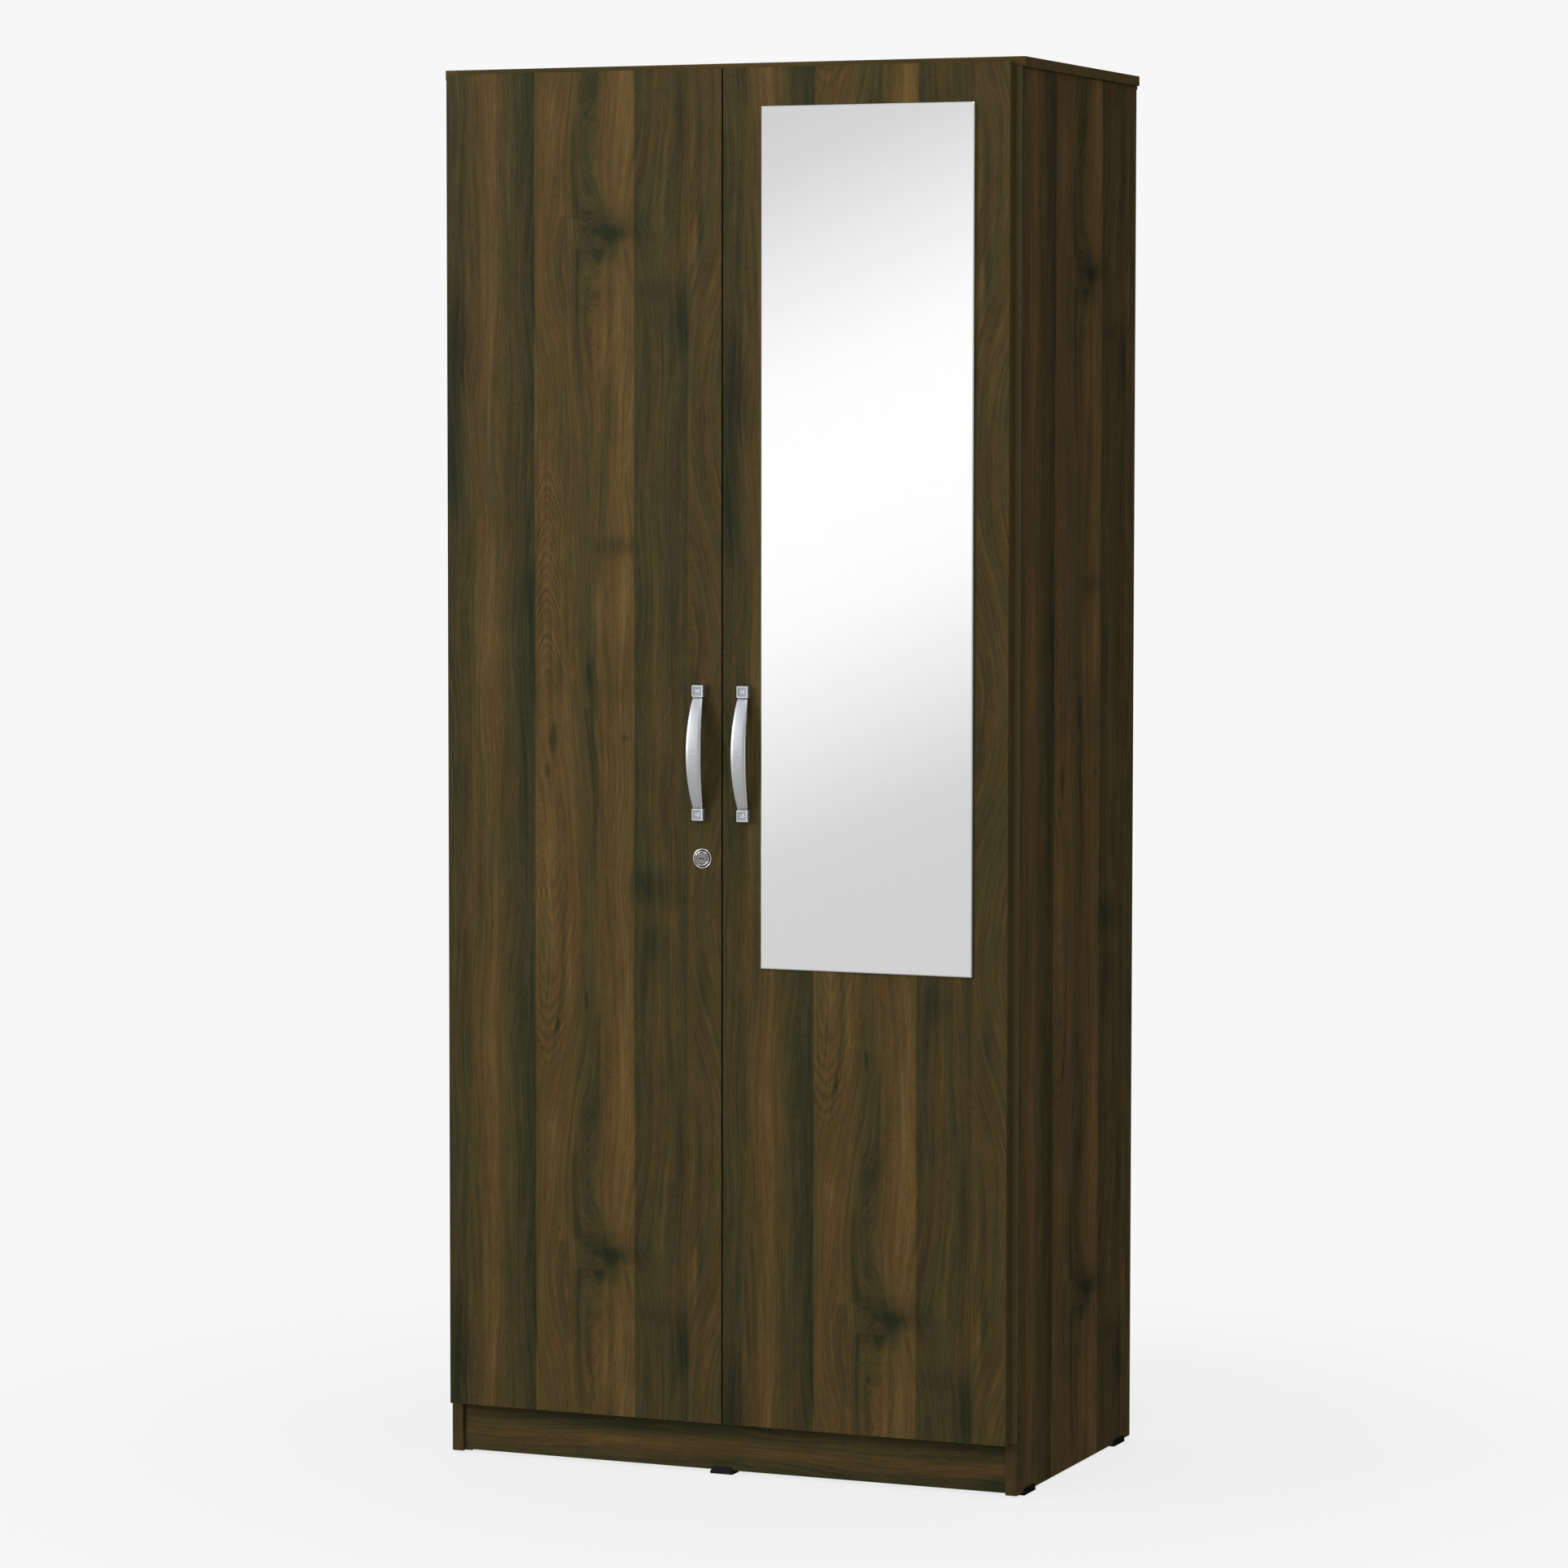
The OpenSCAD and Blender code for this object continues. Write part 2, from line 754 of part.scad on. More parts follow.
module cup_screws(side) {
    color(zinc) on_side(side)
        for (z = hinge_zs)
            for (s = [-1, 1])
                translate([cup_screw_x, door_back, z + s * cup_screw_dz]) difference() {
                    union() {
                        bar_y(1.6, 0, [-9.8, flange_t], 0);
                        bar_y(3.3, 0, [flange_t, flange_t + 1.5], 0);
                    }
                    cross_y(0, flange_t + 1.5, 0, 2);
                }
}

module left_cup_screws() { cup_screws(-1); }
module right_cup_screws() { cup_screws(1); }

// Screws of the hinge plates in the side panels, and of the arms in the plates
module hinge_plate_screws() {
    color(zinc)
        for (side = [-1, 1])
            on_side(side)
                for (z = hinge_zs) {
                    for (s = [-1, 1])
                        translate([side_in - 2, wing_y, z + s * wing_screw_dz]) difference() {
                            union() {
                                bar_x(2, [0, 12.8], 0, 0);
                                bar_x(3.6, [-1.6, 0], 0, 0);
                            }
                            cross_x(-1.6, 0, 0, 2.2);
                        }
                    for (y = arm_screw_ys)
                        translate([arm_x, y, z]) difference() {
                            union() {
                                bar_x(2, [0, arm_t + 6], 0, 0);
                                bar_x(3.6, [-1.8, 0], 0, 0);
                            }
                            cross_x(-1.8, 0, 0, 2.2);
                        }
                }
}

// ---- Lock, on the left door ----

// Bright housing: a face ring in two steps and a barrel through the door
module lock_cylinder() {
    color(bright_metal) placed() difference() {
        union() {
            bar_y(lock_face_r, -lock_x, [door_front - 1.6, door_front], lock_z);
            bar_y(lock_face_r - 2.2, -lock_x, [door_front - 2.8, door_front - 1], lock_z);
            bar_y(lock_barrel_r, -lock_x, [door_front - 2, door_back], lock_z);
        }
        bar_y(plug_r + bore_play, -lock_x, [door_front - 4, door_back + 1], lock_z);
    }
}

// Plug with its keyway in front and its crank pin behind
module lock_plug() {
    color(bright_metal) placed() translate([-lock_x, 0, lock_z]) difference() {
        union() {
            bar_y(plug_r, 0, [door_front - 3.6, door_back + 0.5], 0);
            bar_y(crank_disc_r, 0, [door_back + 0.4, door_back + 2.8], 0);
            bar_y(crank_pin_r, -crank_r * sin(45), [door_back + 2, bolt_y[1] - 1], crank_r * cos(45));
        }
        span([-4, 4], [door_front - 5, door_front + 6], [-0.7, 0.7]);
    }
}

module lock_case() {
    color(zinc) placed() difference() {
        span(case_x, case_y, [lock_z - case_dz, lock_z + case_dz]);
        span([bolt_x[0] - 1.5, case_x[1] + 1], [bolt_y[0] - bolt_play, bolt_y[1] + bolt_play],
            [lock_z - bolt_dz - bolt_play, lock_z + bolt_dz + bolt_play]);
        bar_y(crank_disc_r + 0.4, -lock_x, [door_back - 1, bolt_y[0]], lock_z);
        for (x = [case_x[0] + 5, case_x[1] - 5])
            for (s = [-1, 1])
                bar_y(1.6, x, [door_back - 1, case_y[1] + 1], lock_z + s * lock_screw_dz);
    }
}

module lock_case_screws() {
    color(zinc) placed()
        for (x = [case_x[0] + 5, case_x[1] - 5])
            for (s = [-1, 1])
                translate([x, 0, lock_z + s * lock_screw_dz]) difference() {
                    union() {
                        bar_y(1.4, 0, [door_back - 8.8, case_y[1]], 0);
                        bar_y(2.8, 0, [case_y[1], case_y[1] + 1.3], 0);
                    }
                    cross_y(0, case_y[1] + 1.3, 0, 1.8);
                }
}

// Bolt with an upright slot for the crank pin
module lock_bolt() {
    slot_x = -lock_x - crank_r * sin(45);
    slot_half = crank_pin_r + 0.5;
    color(bright_metal) placed() difference() {
        span(bolt_x, bolt_y, [lock_z - bolt_dz, lock_z + bolt_dz]);
        span([slot_x - slot_half, slot_x + slot_half], [bolt_y[0] - 1, bolt_y[1] + 1],
            [lock_z + crank_r * cos(45) - crank_pin_r - 0.5, lock_z + crank_r + crank_pin_r + 0.5]);
    }
}

module lock_strike() {
    color(zinc) placed() difference() {
        span([-part_half, -part_half + strike_t], strike_y, [lock_z - strike_dz, lock_z + strike_dz]);
        span([-part_half - 1, 0], strike_slot_y, [lock_z - strike_slot_dz, lock_z + strike_slot_dz]);
        for (s = [-1, 1])
            bar_x(1.6, [-part_half - 1, 0], strike_screw_y, lock_z + s * strike_screw_dz);
    }
}

module strike_screws() {
    color(zinc) placed()
        for (s = [-1, 1])
            translate([-part_half, strike_screw_y, lock_z + s * strike_screw_dz]) difference() {
                union() {
                    bar_x(1.4, [0, 7.8], 0, 0);
                    bar_x(2.6, [-1, 0], 0, 0);
                }
                cross_x(-1, 0, 0, 1.6);
            }
}

left_side_panel();
right_side_panel();
top_panel();
bottom_panel();
centre_partition();
front_plinth();
rear_plinth();
left_back_board();
right_back_board();
back_joiner();
back_top_strip();
back_nails();
left_shelf_1();
left_shelf_2();
left_shelf_3();
left_upper_shelf();
right_upper_shelf();
shelf_pins();
hanging_rail();
left_rail_socket();
right_rail_socket();
rail_socket_screws();
left_front_glide();
left_rear_glide();
right_front_glide();
right_rear_glide();
centre_front_glide();
centre_rear_glide();
cam_locks();
cam_bolts();
left_door();
right_door();
left_handle();
right_handle();
left_handle_screws();
right_handle_screws();
mirror_glass();
mirror_tape();
left_hinge_cups();
left_hinge_pins();
left_hinge_arms();
left_hinge_plates();
left_cup_screws();
right_hinge_cups();
right_hinge_pins();
right_hinge_arms();
right_hinge_plates();
right_cup_screws();
hinge_plate_screws();
left_bumpers();
right_bumpers();
lock_cylinder();
lock_plug();
lock_case();
lock_case_screws();
lock_bolt();
lock_strike();
strike_screws();
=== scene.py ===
"""Looks of the two-door wardrobe: walnut-printed boards, a mirror, bow handles, a lock and glides."""
import math

import bmesh
import bpy
from mathutils import Matrix, Vector


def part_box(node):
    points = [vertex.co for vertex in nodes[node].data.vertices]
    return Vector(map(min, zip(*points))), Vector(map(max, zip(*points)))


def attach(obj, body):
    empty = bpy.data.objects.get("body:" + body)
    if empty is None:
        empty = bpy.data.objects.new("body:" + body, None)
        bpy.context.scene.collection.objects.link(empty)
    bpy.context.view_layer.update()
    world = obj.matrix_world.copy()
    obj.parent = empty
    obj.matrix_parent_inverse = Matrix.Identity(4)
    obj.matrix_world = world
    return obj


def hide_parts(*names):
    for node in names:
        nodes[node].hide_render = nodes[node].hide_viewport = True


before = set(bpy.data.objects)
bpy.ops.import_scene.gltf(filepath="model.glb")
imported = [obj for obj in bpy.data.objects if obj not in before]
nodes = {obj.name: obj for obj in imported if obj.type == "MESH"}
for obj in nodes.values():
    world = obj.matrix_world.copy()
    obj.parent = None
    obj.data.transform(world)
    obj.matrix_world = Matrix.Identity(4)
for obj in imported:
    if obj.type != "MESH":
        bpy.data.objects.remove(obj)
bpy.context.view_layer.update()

MM = 0.001
X, Y, Z = 0, 1, 2

# ---- Places taken from the frame ----

left_door_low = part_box("left_door")[0]
right_door_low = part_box("right_door")[0]
side_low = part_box("right_side_panel")[0]
plinth_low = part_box("front_plinth")[0]
door_face_y = left_door_low.y
floor_z = side_low.z


# ---- Shader building ----

MIX_FACTOR, MIX_A, MIX_B, MIX_RESULT = 0, 6, 7, 2   # places of a Mix node's colour sockets


def linear(red, green, blue):
    """A display colour from 0 to 255 as the linear RGBA that a shader takes."""
    def channel(value):
        value /= 255
        return value / 12.92 if value <= 0.04045 else ((value + 0.055) / 1.055) ** 2.4
    return (channel(red), channel(green), channel(blue), 1.0)


class Graph:
    """Adds nodes to a node tree. Each method that adds one kind of node returns its output socket."""

    def __init__(self, tree):
        self.tree = tree

    def node(self, kind, **settings):
        made = self.tree.nodes.new(kind)
        for key, value in settings.items():
            setattr(made, key, value)
        return made

    def put(self, socket, value):
        """Links an output to the socket, or sets the socket to a constant."""
        if isinstance(value, bpy.types.NodeSocket):
            self.tree.links.new(value, socket)
        else:
            socket.default_value = value

    def math(self, operation, *values):
        made = self.node("ShaderNodeMath", operation=operation)
        for socket, value in zip(made.inputs, values):
            self.put(socket, value)
        return made.outputs[0]

    def add(self, a, b):
        return self.math("ADD", a, b)

    def subtract(self, a, b):
        return self.math("SUBTRACT", a, b)

    def times(self, a, b):
        return self.math("MULTIPLY", a, b)

    def affine(self, value, scale, shift):
        return self.math("MULTIPLY_ADD", value, scale, shift)

    def vector(self, *parts):
        made = self.node("ShaderNodeCombineXYZ")
        for socket, value in zip(made.inputs, parts):
            self.put(socket, value)
        return made.outputs[0]

    def separate(self, vector):
        made = self.node("ShaderNodeSeparateXYZ")
        self.put(made.inputs[0], vector)
        return made.outputs

    def scaled(self, axes, factors):
        return self.vector(*(self.times(axis, factor) for axis, factor in zip(axes, factors)))

    def noise(self, vector, detail=2.0, roughness=0.5):
        made = self.node("ShaderNodeTexNoise")
        self.put(made.inputs["Vector"], vector)
        made.inputs["Scale"].default_value = 1.0
        made.inputs["Detail"].default_value = detail
        made.inputs["Roughness"].default_value = roughness
        return made.outputs["Fac"]

    def remap(self, value, low, high, to_low=0.0, to_high=1.0, smooth=True):
        made = self.node("ShaderNodeMapRange", interpolation_type="SMOOTHSTEP" if smooth else "LINEAR")
        for socket, number in zip(made.inputs, (value, low, high, to_low, to_high)):
            self.put(socket, number)
        return made.outputs[0]

    def ramp(self, value, stops, interpolation="LINEAR"):
        """A colour ramp; stops holds pairs of a position and a grey level or an RGBA."""
        made = self.node("ShaderNodeValToRGB")
        made.color_ramp.interpolation = interpolation
        elements = made.color_ramp.elements
        while len(elements) < len(stops):
            elements.new(1.0)
        for element, (position, level) in zip(elements, stops):
            element.position = position
            element.color = level if isinstance(level, tuple) else (level, level, level, 1.0)
        self.put(made.inputs[0], value)
        return made.outputs[0]

    def mix(self, factor, a, b, blend="MIX"):
        made = self.node("ShaderNodeMix", data_type="RGBA", blend_type=blend)
        self.put(made.inputs[MIX_FACTOR], factor)
        self.put(made.inputs[MIX_A], a)
        self.put(made.inputs[MIX_B], b)
        return made.outputs[MIX_RESULT]

    def bump(self, height, depth, strength):
        made = self.node("ShaderNodeBump")
        made.inputs["Strength"].default_value = strength
        made.inputs["Distance"].default_value = depth
        self.put(made.inputs["Height"], height)
        return made.outputs[0]

    def coordinates(self, output):
        return self.node("ShaderNodeTexCoord").outputs[output]


def new_material(name, **constants):
    """A Principled material, its constant sockets set by name, and the graph to add nodes with."""
    material = bpy.data.materials.new(name)
    material.use_nodes = True
    shader = material.node_tree.nodes["Principled BSDF"]
    for key, value in constants.items():
        shader.inputs[key.replace("_", " ")].default_value = value
    return material, shader, Graph(material.node_tree)


# ---- Walnut print ----

PRINT_REPEAT = 1333.0   # mm along the grain after which the print starts again

# Tone across the grain, from 0 (dark green) to 1 (light brown), as (mm, tone)
PLANKS = [(0, 0.38), (28, 0.40), (36, 0.52), (48, 0.55), (60, 0.66), (70, 0.64), (82, 0.50), (98, 0.38),
          (112, 0.30), (126.5, 0.26), (127.5, 0.64), (150, 0.66), (178, 0.62), (190, 0.54),
          (203, 0.46), (216, 0.58), (236, 0.66), (252, 0.76), (268, 0.74), (269, 0.38), (280, 0.42),
          (300, 0.50), (325, 0.44), (343, 0.38), (345, 0.54), (362, 0.48), (376, 0.52), (395, 0.54),
          (425, 0.42), (460, 0.38)]
PLANK_SPAN = 460.0

# The knot's place in the print in mm, across and along, and how far it draws the grain lines together
KNOT_ACROSS, KNOT_ALONG = 240.0, 280.0
KNOT_PINCH = 0.58

# Shades of the knot from its place, and dark marks from the print's start, in mm:
# across, along, half width, half height, strength
KNOT_SHADES = [(2, 0, 24, 11, 0.34), (-10, 10, 26, 18, 0.18), (-2, -16, 13, 20, 0.20), (2, 0, 46, 36, 0.14)]
MARKS = [(200, 612, 2.6, 13, 0.42), (158, 582, 2.6, 11, 0.36), (201, 430, 2, 6, 0.30),
         (152, 955, 8, 18, 0.42), (144, 912, 4.5, 10, 0.34), (255, 960, 5, 5, 0.30),
         (12, 130, 17, 90, 0.34), (8, 20, 14, 60, 0.26), (10, 1290, 12, 50, 0.20),
         (334, 165, 14, 40, 0.34), (300, 205, 34, 16, 0.14), (306, 765, 34, 26, 0.18),
         (283, 772, 16, 22, 0.22), (245, 1208, 28, 13, 0.26), (205, 1042, 9, 28, 0.30),
         (212, 1000, 7, 34, 0.20), (180, 1061, 3, 14, 0.20), (118, 1150, 15, 40, 0.16),
         (318, 1130, 16, 80, 0.14), (362, 292, 5, 36, 0.28), (352, 1010, 8, 60, 0.16),
         (222, 860, 5, 50, 0.16), (300, 690, 22, 26, 0.16), (365, 650, 8, 40, 0.18),
         (150, 1150, 34, 190, 0.10)]

# Light flames of the print, in the same terms as its marks
FLAMES = [(147, 805, 7, 62, 0.22), (221, 1128, 6, 46, 0.18), (254, 1130, 8, 60, 0.12),
          (148, 425, 18, 46, 0.14), (176, 640, 6, 46, 0.14), (226, 165, 6, 84, 0.16),
          (248, 185, 6, 80, 0.14), (354, 265, 3, 52, 0.18), (66, 1100, 9, 90, 0.10),
          (150, 700, 12, 30, 0.10), (142, 1180, 9, 50, 0.10), (305, 960, 5, 90, 0.10),
          (252, 520, 8, 110, 0.10), (170, 1000, 5, 60, 0.12), (62, 500, 7, 130, 0.08)]

# Dark streaks that follow the grain lines: line, half width, start and end along, strength
STREAKS = [(206, 8, 296, 440, 0.24), (222, 5, 292, 360, 0.14), (206, 6, 262, 60, 0.22),
           (263, 4, 262, 190, 0.20), (188, 4, 300, 150, 0.14), (214, 8, 600, 430, 0.18),
           (203, 6, 1000, 700, 0.18), (229, 5, 780, 640, 0.12)]
STREAK_START, STREAK_END = 6, 40   # mm over which a streak comes in and fades out
SHADE_LIMIT = 0.62                 # the most that marks and streaks darken together

# Nested arches (steepness above 0) and bowls (below 0), where the saw met the rings flat: the middle,
# the crown's roundness, steepness, spacing and seed; where they show across and along; and strength
CATHEDRALS = [(145.0, 9.0, 3.2, 15.0, 2.3, (127.6, 129, 158, 184), (1010, 1070, 1290, 1325), 0.15),
              (152.0, 9.0, -4.6, 34.0, 6.1, (127.6, 130, 168, 196), (600, 650, 720, 860), 0.08),
              (146.0, 9.0, -1.8, 19.0, 8.4, (127.6, 130, 160, 182), (500, 540, 600, 660), 0.09)]


def print_group():
    """The print as a tone offset, a warmth and fine pores, by the place across and along the grain in mm."""
    tree = bpy.data.node_groups.new("walnut_print", "ShaderNodeTree")
    for name in ("Across", "Along"):
        tree.interface.new_socket(name, in_out="INPUT", socket_type="NodeSocketFloat")
    for name in ("Tone", "Warmth", "Pores"):
        tree.interface.new_socket(name, in_out="OUTPUT", socket_type="NodeSocketFloat")
    g = Graph(tree)
    source = g.node("NodeGroupInput").outputs
    across, along = source["Across"], source["Along"]
    repeat = g.math("FLOORED_MODULO", along, PRINT_REPEAT)

    # The way along the grain runs round a circle, so that the print repeats without a seam
    angle = g.times(along, 2 * math.pi / PRINT_REPEAT)
    cosine, sine = g.math("COSINE", angle), g.math("SINE", angle)

    def streaked(line, width, length, **settings):
        """Noise drawn out along the grain: width and length are the size of its grains in mm."""
        radius = PRINT_REPEAT / length / (2 * math.pi)
        place = g.vector(g.times(line, 1 / width), g.times(cosine, radius), g.times(sine, radius))
        return g.noise(place, **settings)

    def centred(value, amount):
        return g.affine(value, amount, -amount / 2)

    def squared(value):
        return g.math("POWER", value, 2.0)

    def bell(value, middle, width):
        away = squared(g.affine(value, 1 / width, -middle / width))
        return g.math("EXPONENT", g.times(away, -1.0))

    def soft_step(value, middle, softness):
        return g.math("TANH", g.affine(value, 1 / softness, -middle / softness))

    def window(value, start, rise, fall, end):
        return g.times(g.remap(value, start, rise), g.remap(value, end, fall))

    # Grain lines wander slowly, lean in one plank, sway in another, and run together at the knot
    wander = centred(streaked(across, 62, 250, detail=1.5), 40)
    pinch = g.times(bell(repeat, KNOT_ALONG, 72.0), bell(across, KNOT_ACROSS, 46.0))
    drawn = g.math("DIVIDE", g.subtract(across, KNOT_ACROSS), g.affine(pinch, -KNOT_PINCH, 1.0))
    lean = g.times(g.times(soft_step(repeat, 500, 90), window(across, 127, 140, 190, 226)),
                   window(repeat, 0, 300, 700, 1000))
    sway = g.times(g.math("SINE", g.affine(angle, 2.0, 0.9)), g.remap(across, 343, 349))
    past_knot = g.times(soft_step(repeat, KNOT_ALONG, 17), bell(across, KNOT_ACROSS, 30.0))
    past_knot = g.times(past_knot, window(repeat, 60, 200, 380, 560))
    line = g.add(g.add(g.add(drawn, KNOT_ACROSS), wander), g.add(g.times(lean, -26.0), g.times(sway, 34.0)))
    line = g.add(line, g.times(past_knot, 11.0))

    # Broad shades, bands, lines, cloudy patches and fibres add up to the tone
    broad = centred(streaked(line, 30, 300, detail=2.0), 0.34)
    bands = centred(streaked(g.add(line, 900.0), 9, 300, detail=3.0, roughness=0.6), 0.46)
    lines = centred(streaked(g.add(line, 2300.0), 3.2, 130, detail=4.0, roughness=0.7), 0.95)
    cloud = centred(streaked(g.add(across, 400.0), 26, 44, detail=3.0, roughness=0.6), 0.24)
    fibre = g.noise(g.vector(g.times(line, 1 / 0.8), g.times(along, 1 / 18), 4.2), detail=3.0, roughness=0.8)
    tone = g.add(g.add(g.add(broad, bands), g.add(lines, cloud)), centred(fibre, 0.62))

    for middle, roundness, steepness, spacing, seed, wide, high, amount in CATHEDRALS:
        away = g.subtract(g.add(across, g.times(wander, 0.35)), middle)
        rounded = g.math("SQRT", g.affine(squared(away), 1.0, roundness ** 2))
        height = g.add(along, g.affine(rounded, steepness, -steepness * roundness))
        uneven = g.noise(g.vector(g.times(height, 1 / (spacing * 3.1)), seed), detail=1.0)
        wave = g.math("SINE", g.add(g.times(height, 2 * math.pi / spacing), g.times(uneven, 13.0)))
        wave = g.times(wave, g.remap(uneven, 0.30, 0.62, 0.5, 1.0))
        shown = g.times(window(across, *wide), window(repeat, *high))
        tone = g.add(tone, g.times(g.times(wave, shown), amount))

    # Marks and streaks are torn along the grain lines
    torn = g.affine(streaked(g.add(line, 3100.0), 3.2, 90, detail=2.5, roughness=0.6), 1.5, -0.75)
    half = PRINT_REPEAT / 2

    def mark(u, v, half_width, half_height, strength):
        aside = g.times(g.subtract(across, u), 1 / half_width)
        above = g.math("FLOORED_MODULO", g.affine(along, 1.0, half - v), PRINT_REPEAT)
        above = g.affine(above, 1 / half_height, -half / half_height)
        away = g.math("SQRT", g.add(squared(aside), squared(above)))
        return g.remap(g.add(away, torn), 1.6, 0.0, 0.0, strength)

    def streak(place, half_width, start, end, strength):
        low, high = min(start, end), max(start, end)
        rise, fall = (STREAK_START, STREAK_END) if start < end else (STREAK_END, STREAK_START)
        length = window(repeat, low, low + rise, high - fall, high)
        away = g.math("ABSOLUTE", g.affine(line, 1 / half_width, -place / half_width))
        return g.times(g.remap(g.add(away, g.times(torn, 0.6)), 1.3, 0.0, 0.0, strength), length)

    shades = [mark(KNOT_ACROSS + u, KNOT_ALONG + v, *shape) for u, v, *shape in KNOT_SHADES]
    shades += [mark(*values) for values in MARKS]
    shades += [streak(*values) for values in STREAKS]
    shades += [mark(*place, -strength) for *place, strength in FLAMES]
    dark = shades[0]
    for shade in shades[1:]:
        dark = g.add(dark, shade)
    tone = g.subtract(tone, g.math("MINIMUM", dark, SHADE_LIMIT))

    warmth = g.subtract(streaked(g.add(line, 5200.0), 24, 260, detail=2.0), g.times(dark, 0.3))
    dashes = g.noise(g.vector(g.times(line, 1 / 0.5), g.times(along, 1 / 7.5), 9.1), detail=1.0)
    sink = g.node("NodeGroupOutput").inputs
    g.put(sink["Tone"], tone)
    g.put(sink["Warmth"], warmth)
    g.put(sink["Pores"], g.remap(dashes, 0.57, 0.66))
    return tree


PRINT = print_group()

OLIVE = [(0.00, linear(34, 38, 22)), (0.20, linear(46, 47, 27)), (0.40, linear(60, 56, 31)),
         (0.62, linear(75, 64, 35)), (0.82, linear(90, 75, 41)), (1.00, linear(106, 88, 50))]
BROWN = [(0.00, linear(38, 36, 22)), (0.20, linear(52, 46, 27)), (0.40, linear(66, 55, 31)),
         (0.62, linear(82, 65, 35)), (0.82, linear(96, 75, 40)), (1.00, linear(110, 86, 48))]
# Colour of a painted highlight on the sides' front edge band beside the door
PAINTED_EDGE_HIGHLIGHT = linear(112, 106, 74)

PORE_DARKNESS = 0.17
BAND_CROSS, BAND_ALONG = 260.0, 9.0   # grains of an edge band's print per metre


def walnut(name, face, grain, places, planks=PLANKS, span=PLANK_SPAN, band_tone=0.34, tint=None,
           contrast=1.0, beside_door=None):
    """Walnut print on the faces that look along axis `face`, with plain edge bands on the other faces.

    grain is the axis that the grain follows. places holds two functions of the graph and the axes that
    give the place across and along the print in mm. beside_door is the front edge's Y and the door's
    foot Z, for a painted highlight that lightens the front edge band beside the door, in place of the
    light on its rounded edge.
    """
    material, shader, g = new_material(name, Specular_IOR_Level=0.06)
    axes = g.separate(g.coordinates("Object"))
    normals = [g.math("ABSOLUTE", part) for part in g.separate(g.coordinates("Normal"))]
    across, along = (place(g, axes) for place in places)
    figure = g.node("ShaderNodeGroup", node_tree=PRINT)
    g.put(figure.inputs["Across"], across)
    g.put(figure.inputs["Along"], along)
    pores = figure.outputs["Pores"]
    plank = g.ramp(g.times(across, 1 / span), [(place / span, level) for place, level in planks])
    tone = g.subtract(g.add(figure.outputs["Tone"], plank), g.times(pores, PORE_DARKNESS))
    tone = g.affine(tone, contrast, 0.5 * (1 - contrast))

    # Edge bands: a plain strip in the same colours
    on_face = g.remap(normals[face], 0.6, 0.8)
    band = g.noise(g.scaled(axes, [BAND_ALONG if axis == grain else BAND_CROSS for axis in (X, Y, Z)]),
                   detail=3.0)
    band = g.affine(band, 0.5, band_tone - 0.25)
    tone = g.add(g.times(tone, on_face), g.times(band, g.subtract(1.0, on_face)))

    # Rounded edges are a little lighter in patches: worn print, together with a painted highlight along the
    # edges
    wear_and_highlight_patches = g.noise(g.scaled(axes, [40.0] * 3), detail=3.0)
    flat = g.math("MAXIMUM", normals[X], g.math("MAXIMUM", normals[Y], normals[Z]))
    tone = g.add(tone, g.times(g.remap(flat, 0.99, 0.93), g.remap(wear_and_highlight_patches, 0.42, 0.66, 0.04, 0.22)))

    warmth = g.remap(g.add(figure.outputs["Warmth"], g.affine(plank, 0.5, -0.26)), 0.34, 0.62)
    colour = g.mix(warmth, g.ramp(tone, OLIVE), g.ramp(tone, BROWN))
    # Painted highlight: above the door's foot, the front edge band is mixed a third of the way to a light
    # grey, in place of the light on its rounded edge
    if beside_door:
        front_y, foot_z = beside_door
        painted_highlight = g.times(g.remap(axes[Y], front_y + 3.4 * MM, front_y + 2.4 * MM, 0.0, 0.34),
                          g.remap(axes[Z], foot_z, foot_z + 2 * MM))
        colour = g.mix(g.times(painted_highlight, g.remap(normals[face], 0.9, 0.6)), colour, PAINTED_EDGE_HIGHLIGHT)
    if tint:
        colour = g.mix(1.0, colour, tint, "MULTIPLY")
    g.put(shader.inputs["Base Color"], colour)

    fine = g.noise(g.scaled(axes, [900.0] * 3), detail=2.0)
    g.put(shader.inputs["Roughness"], g.add(g.affine(fine, 0.16, 0.44), g.times(pores, 0.12)))
    g.put(shader.inputs["Normal"], g.bump(g.subtract(g.times(fine, 0.5), pores), 0.05 * MM, 0.35))
    return material


def board_places(u_axis, start, run_axis, run_start, scale=1.0, first=0.0):
    """The places in the print, in mm, for a board whose grain follows run_axis.

    The print's edge lies at `start` along u_axis, or `first` mm into the print, and its start at run_start,
    both in metres; scale above 1 makes the print narrower.
    """
    def across(g, axes):
        return g.affine(g.subtract(axes[u_axis], start), scale / MM, first)

    def along(g, axes):
        return g.times(g.subtract(axes[run_axis], run_start), 1 / MM)
    return across, along


PRINT_DROP = 0.060      # the right door's print starts this much lower
SIDE_DROP = 0.050
SIDE_STRETCH = 1.27     # the print on the sides is wider by this
SIDE_MATCH = (128.0, 131.0)   # mm into the print, and mm behind a side's front edge, that fall together
side_start = side_low.y + (SIDE_MATCH[1] - SIDE_MATCH[0] * SIDE_STRETCH) * MM
PLINTH_PLANKS = [(0, 0.32), (8, 0.36), (17, 0.46), (26, 0.62), (33, 0.60), (41, 0.40), (50, 0.34),
                 (60, 0.26), (72, 0.22)]

left_door_places = board_places(X, left_door_low.x, Z, floor_z)
right_door_places = board_places(X, right_door_low.x, Z, floor_z - PRINT_DROP)
side_places = board_places(Y, side_start, Z, floor_z - SIDE_DROP, scale=1 / SIDE_STRETCH)
top_places = board_places(Y, side_low.y, X, -0.7, first=20.0)
plinth_places = board_places(Z, plinth_low.z, X, -0.9)
inner_places = board_places(Y, side_low.y, X, -0.5, first=40.0)
partition_places = board_places(Y, side_low.y, Z, floor_z)

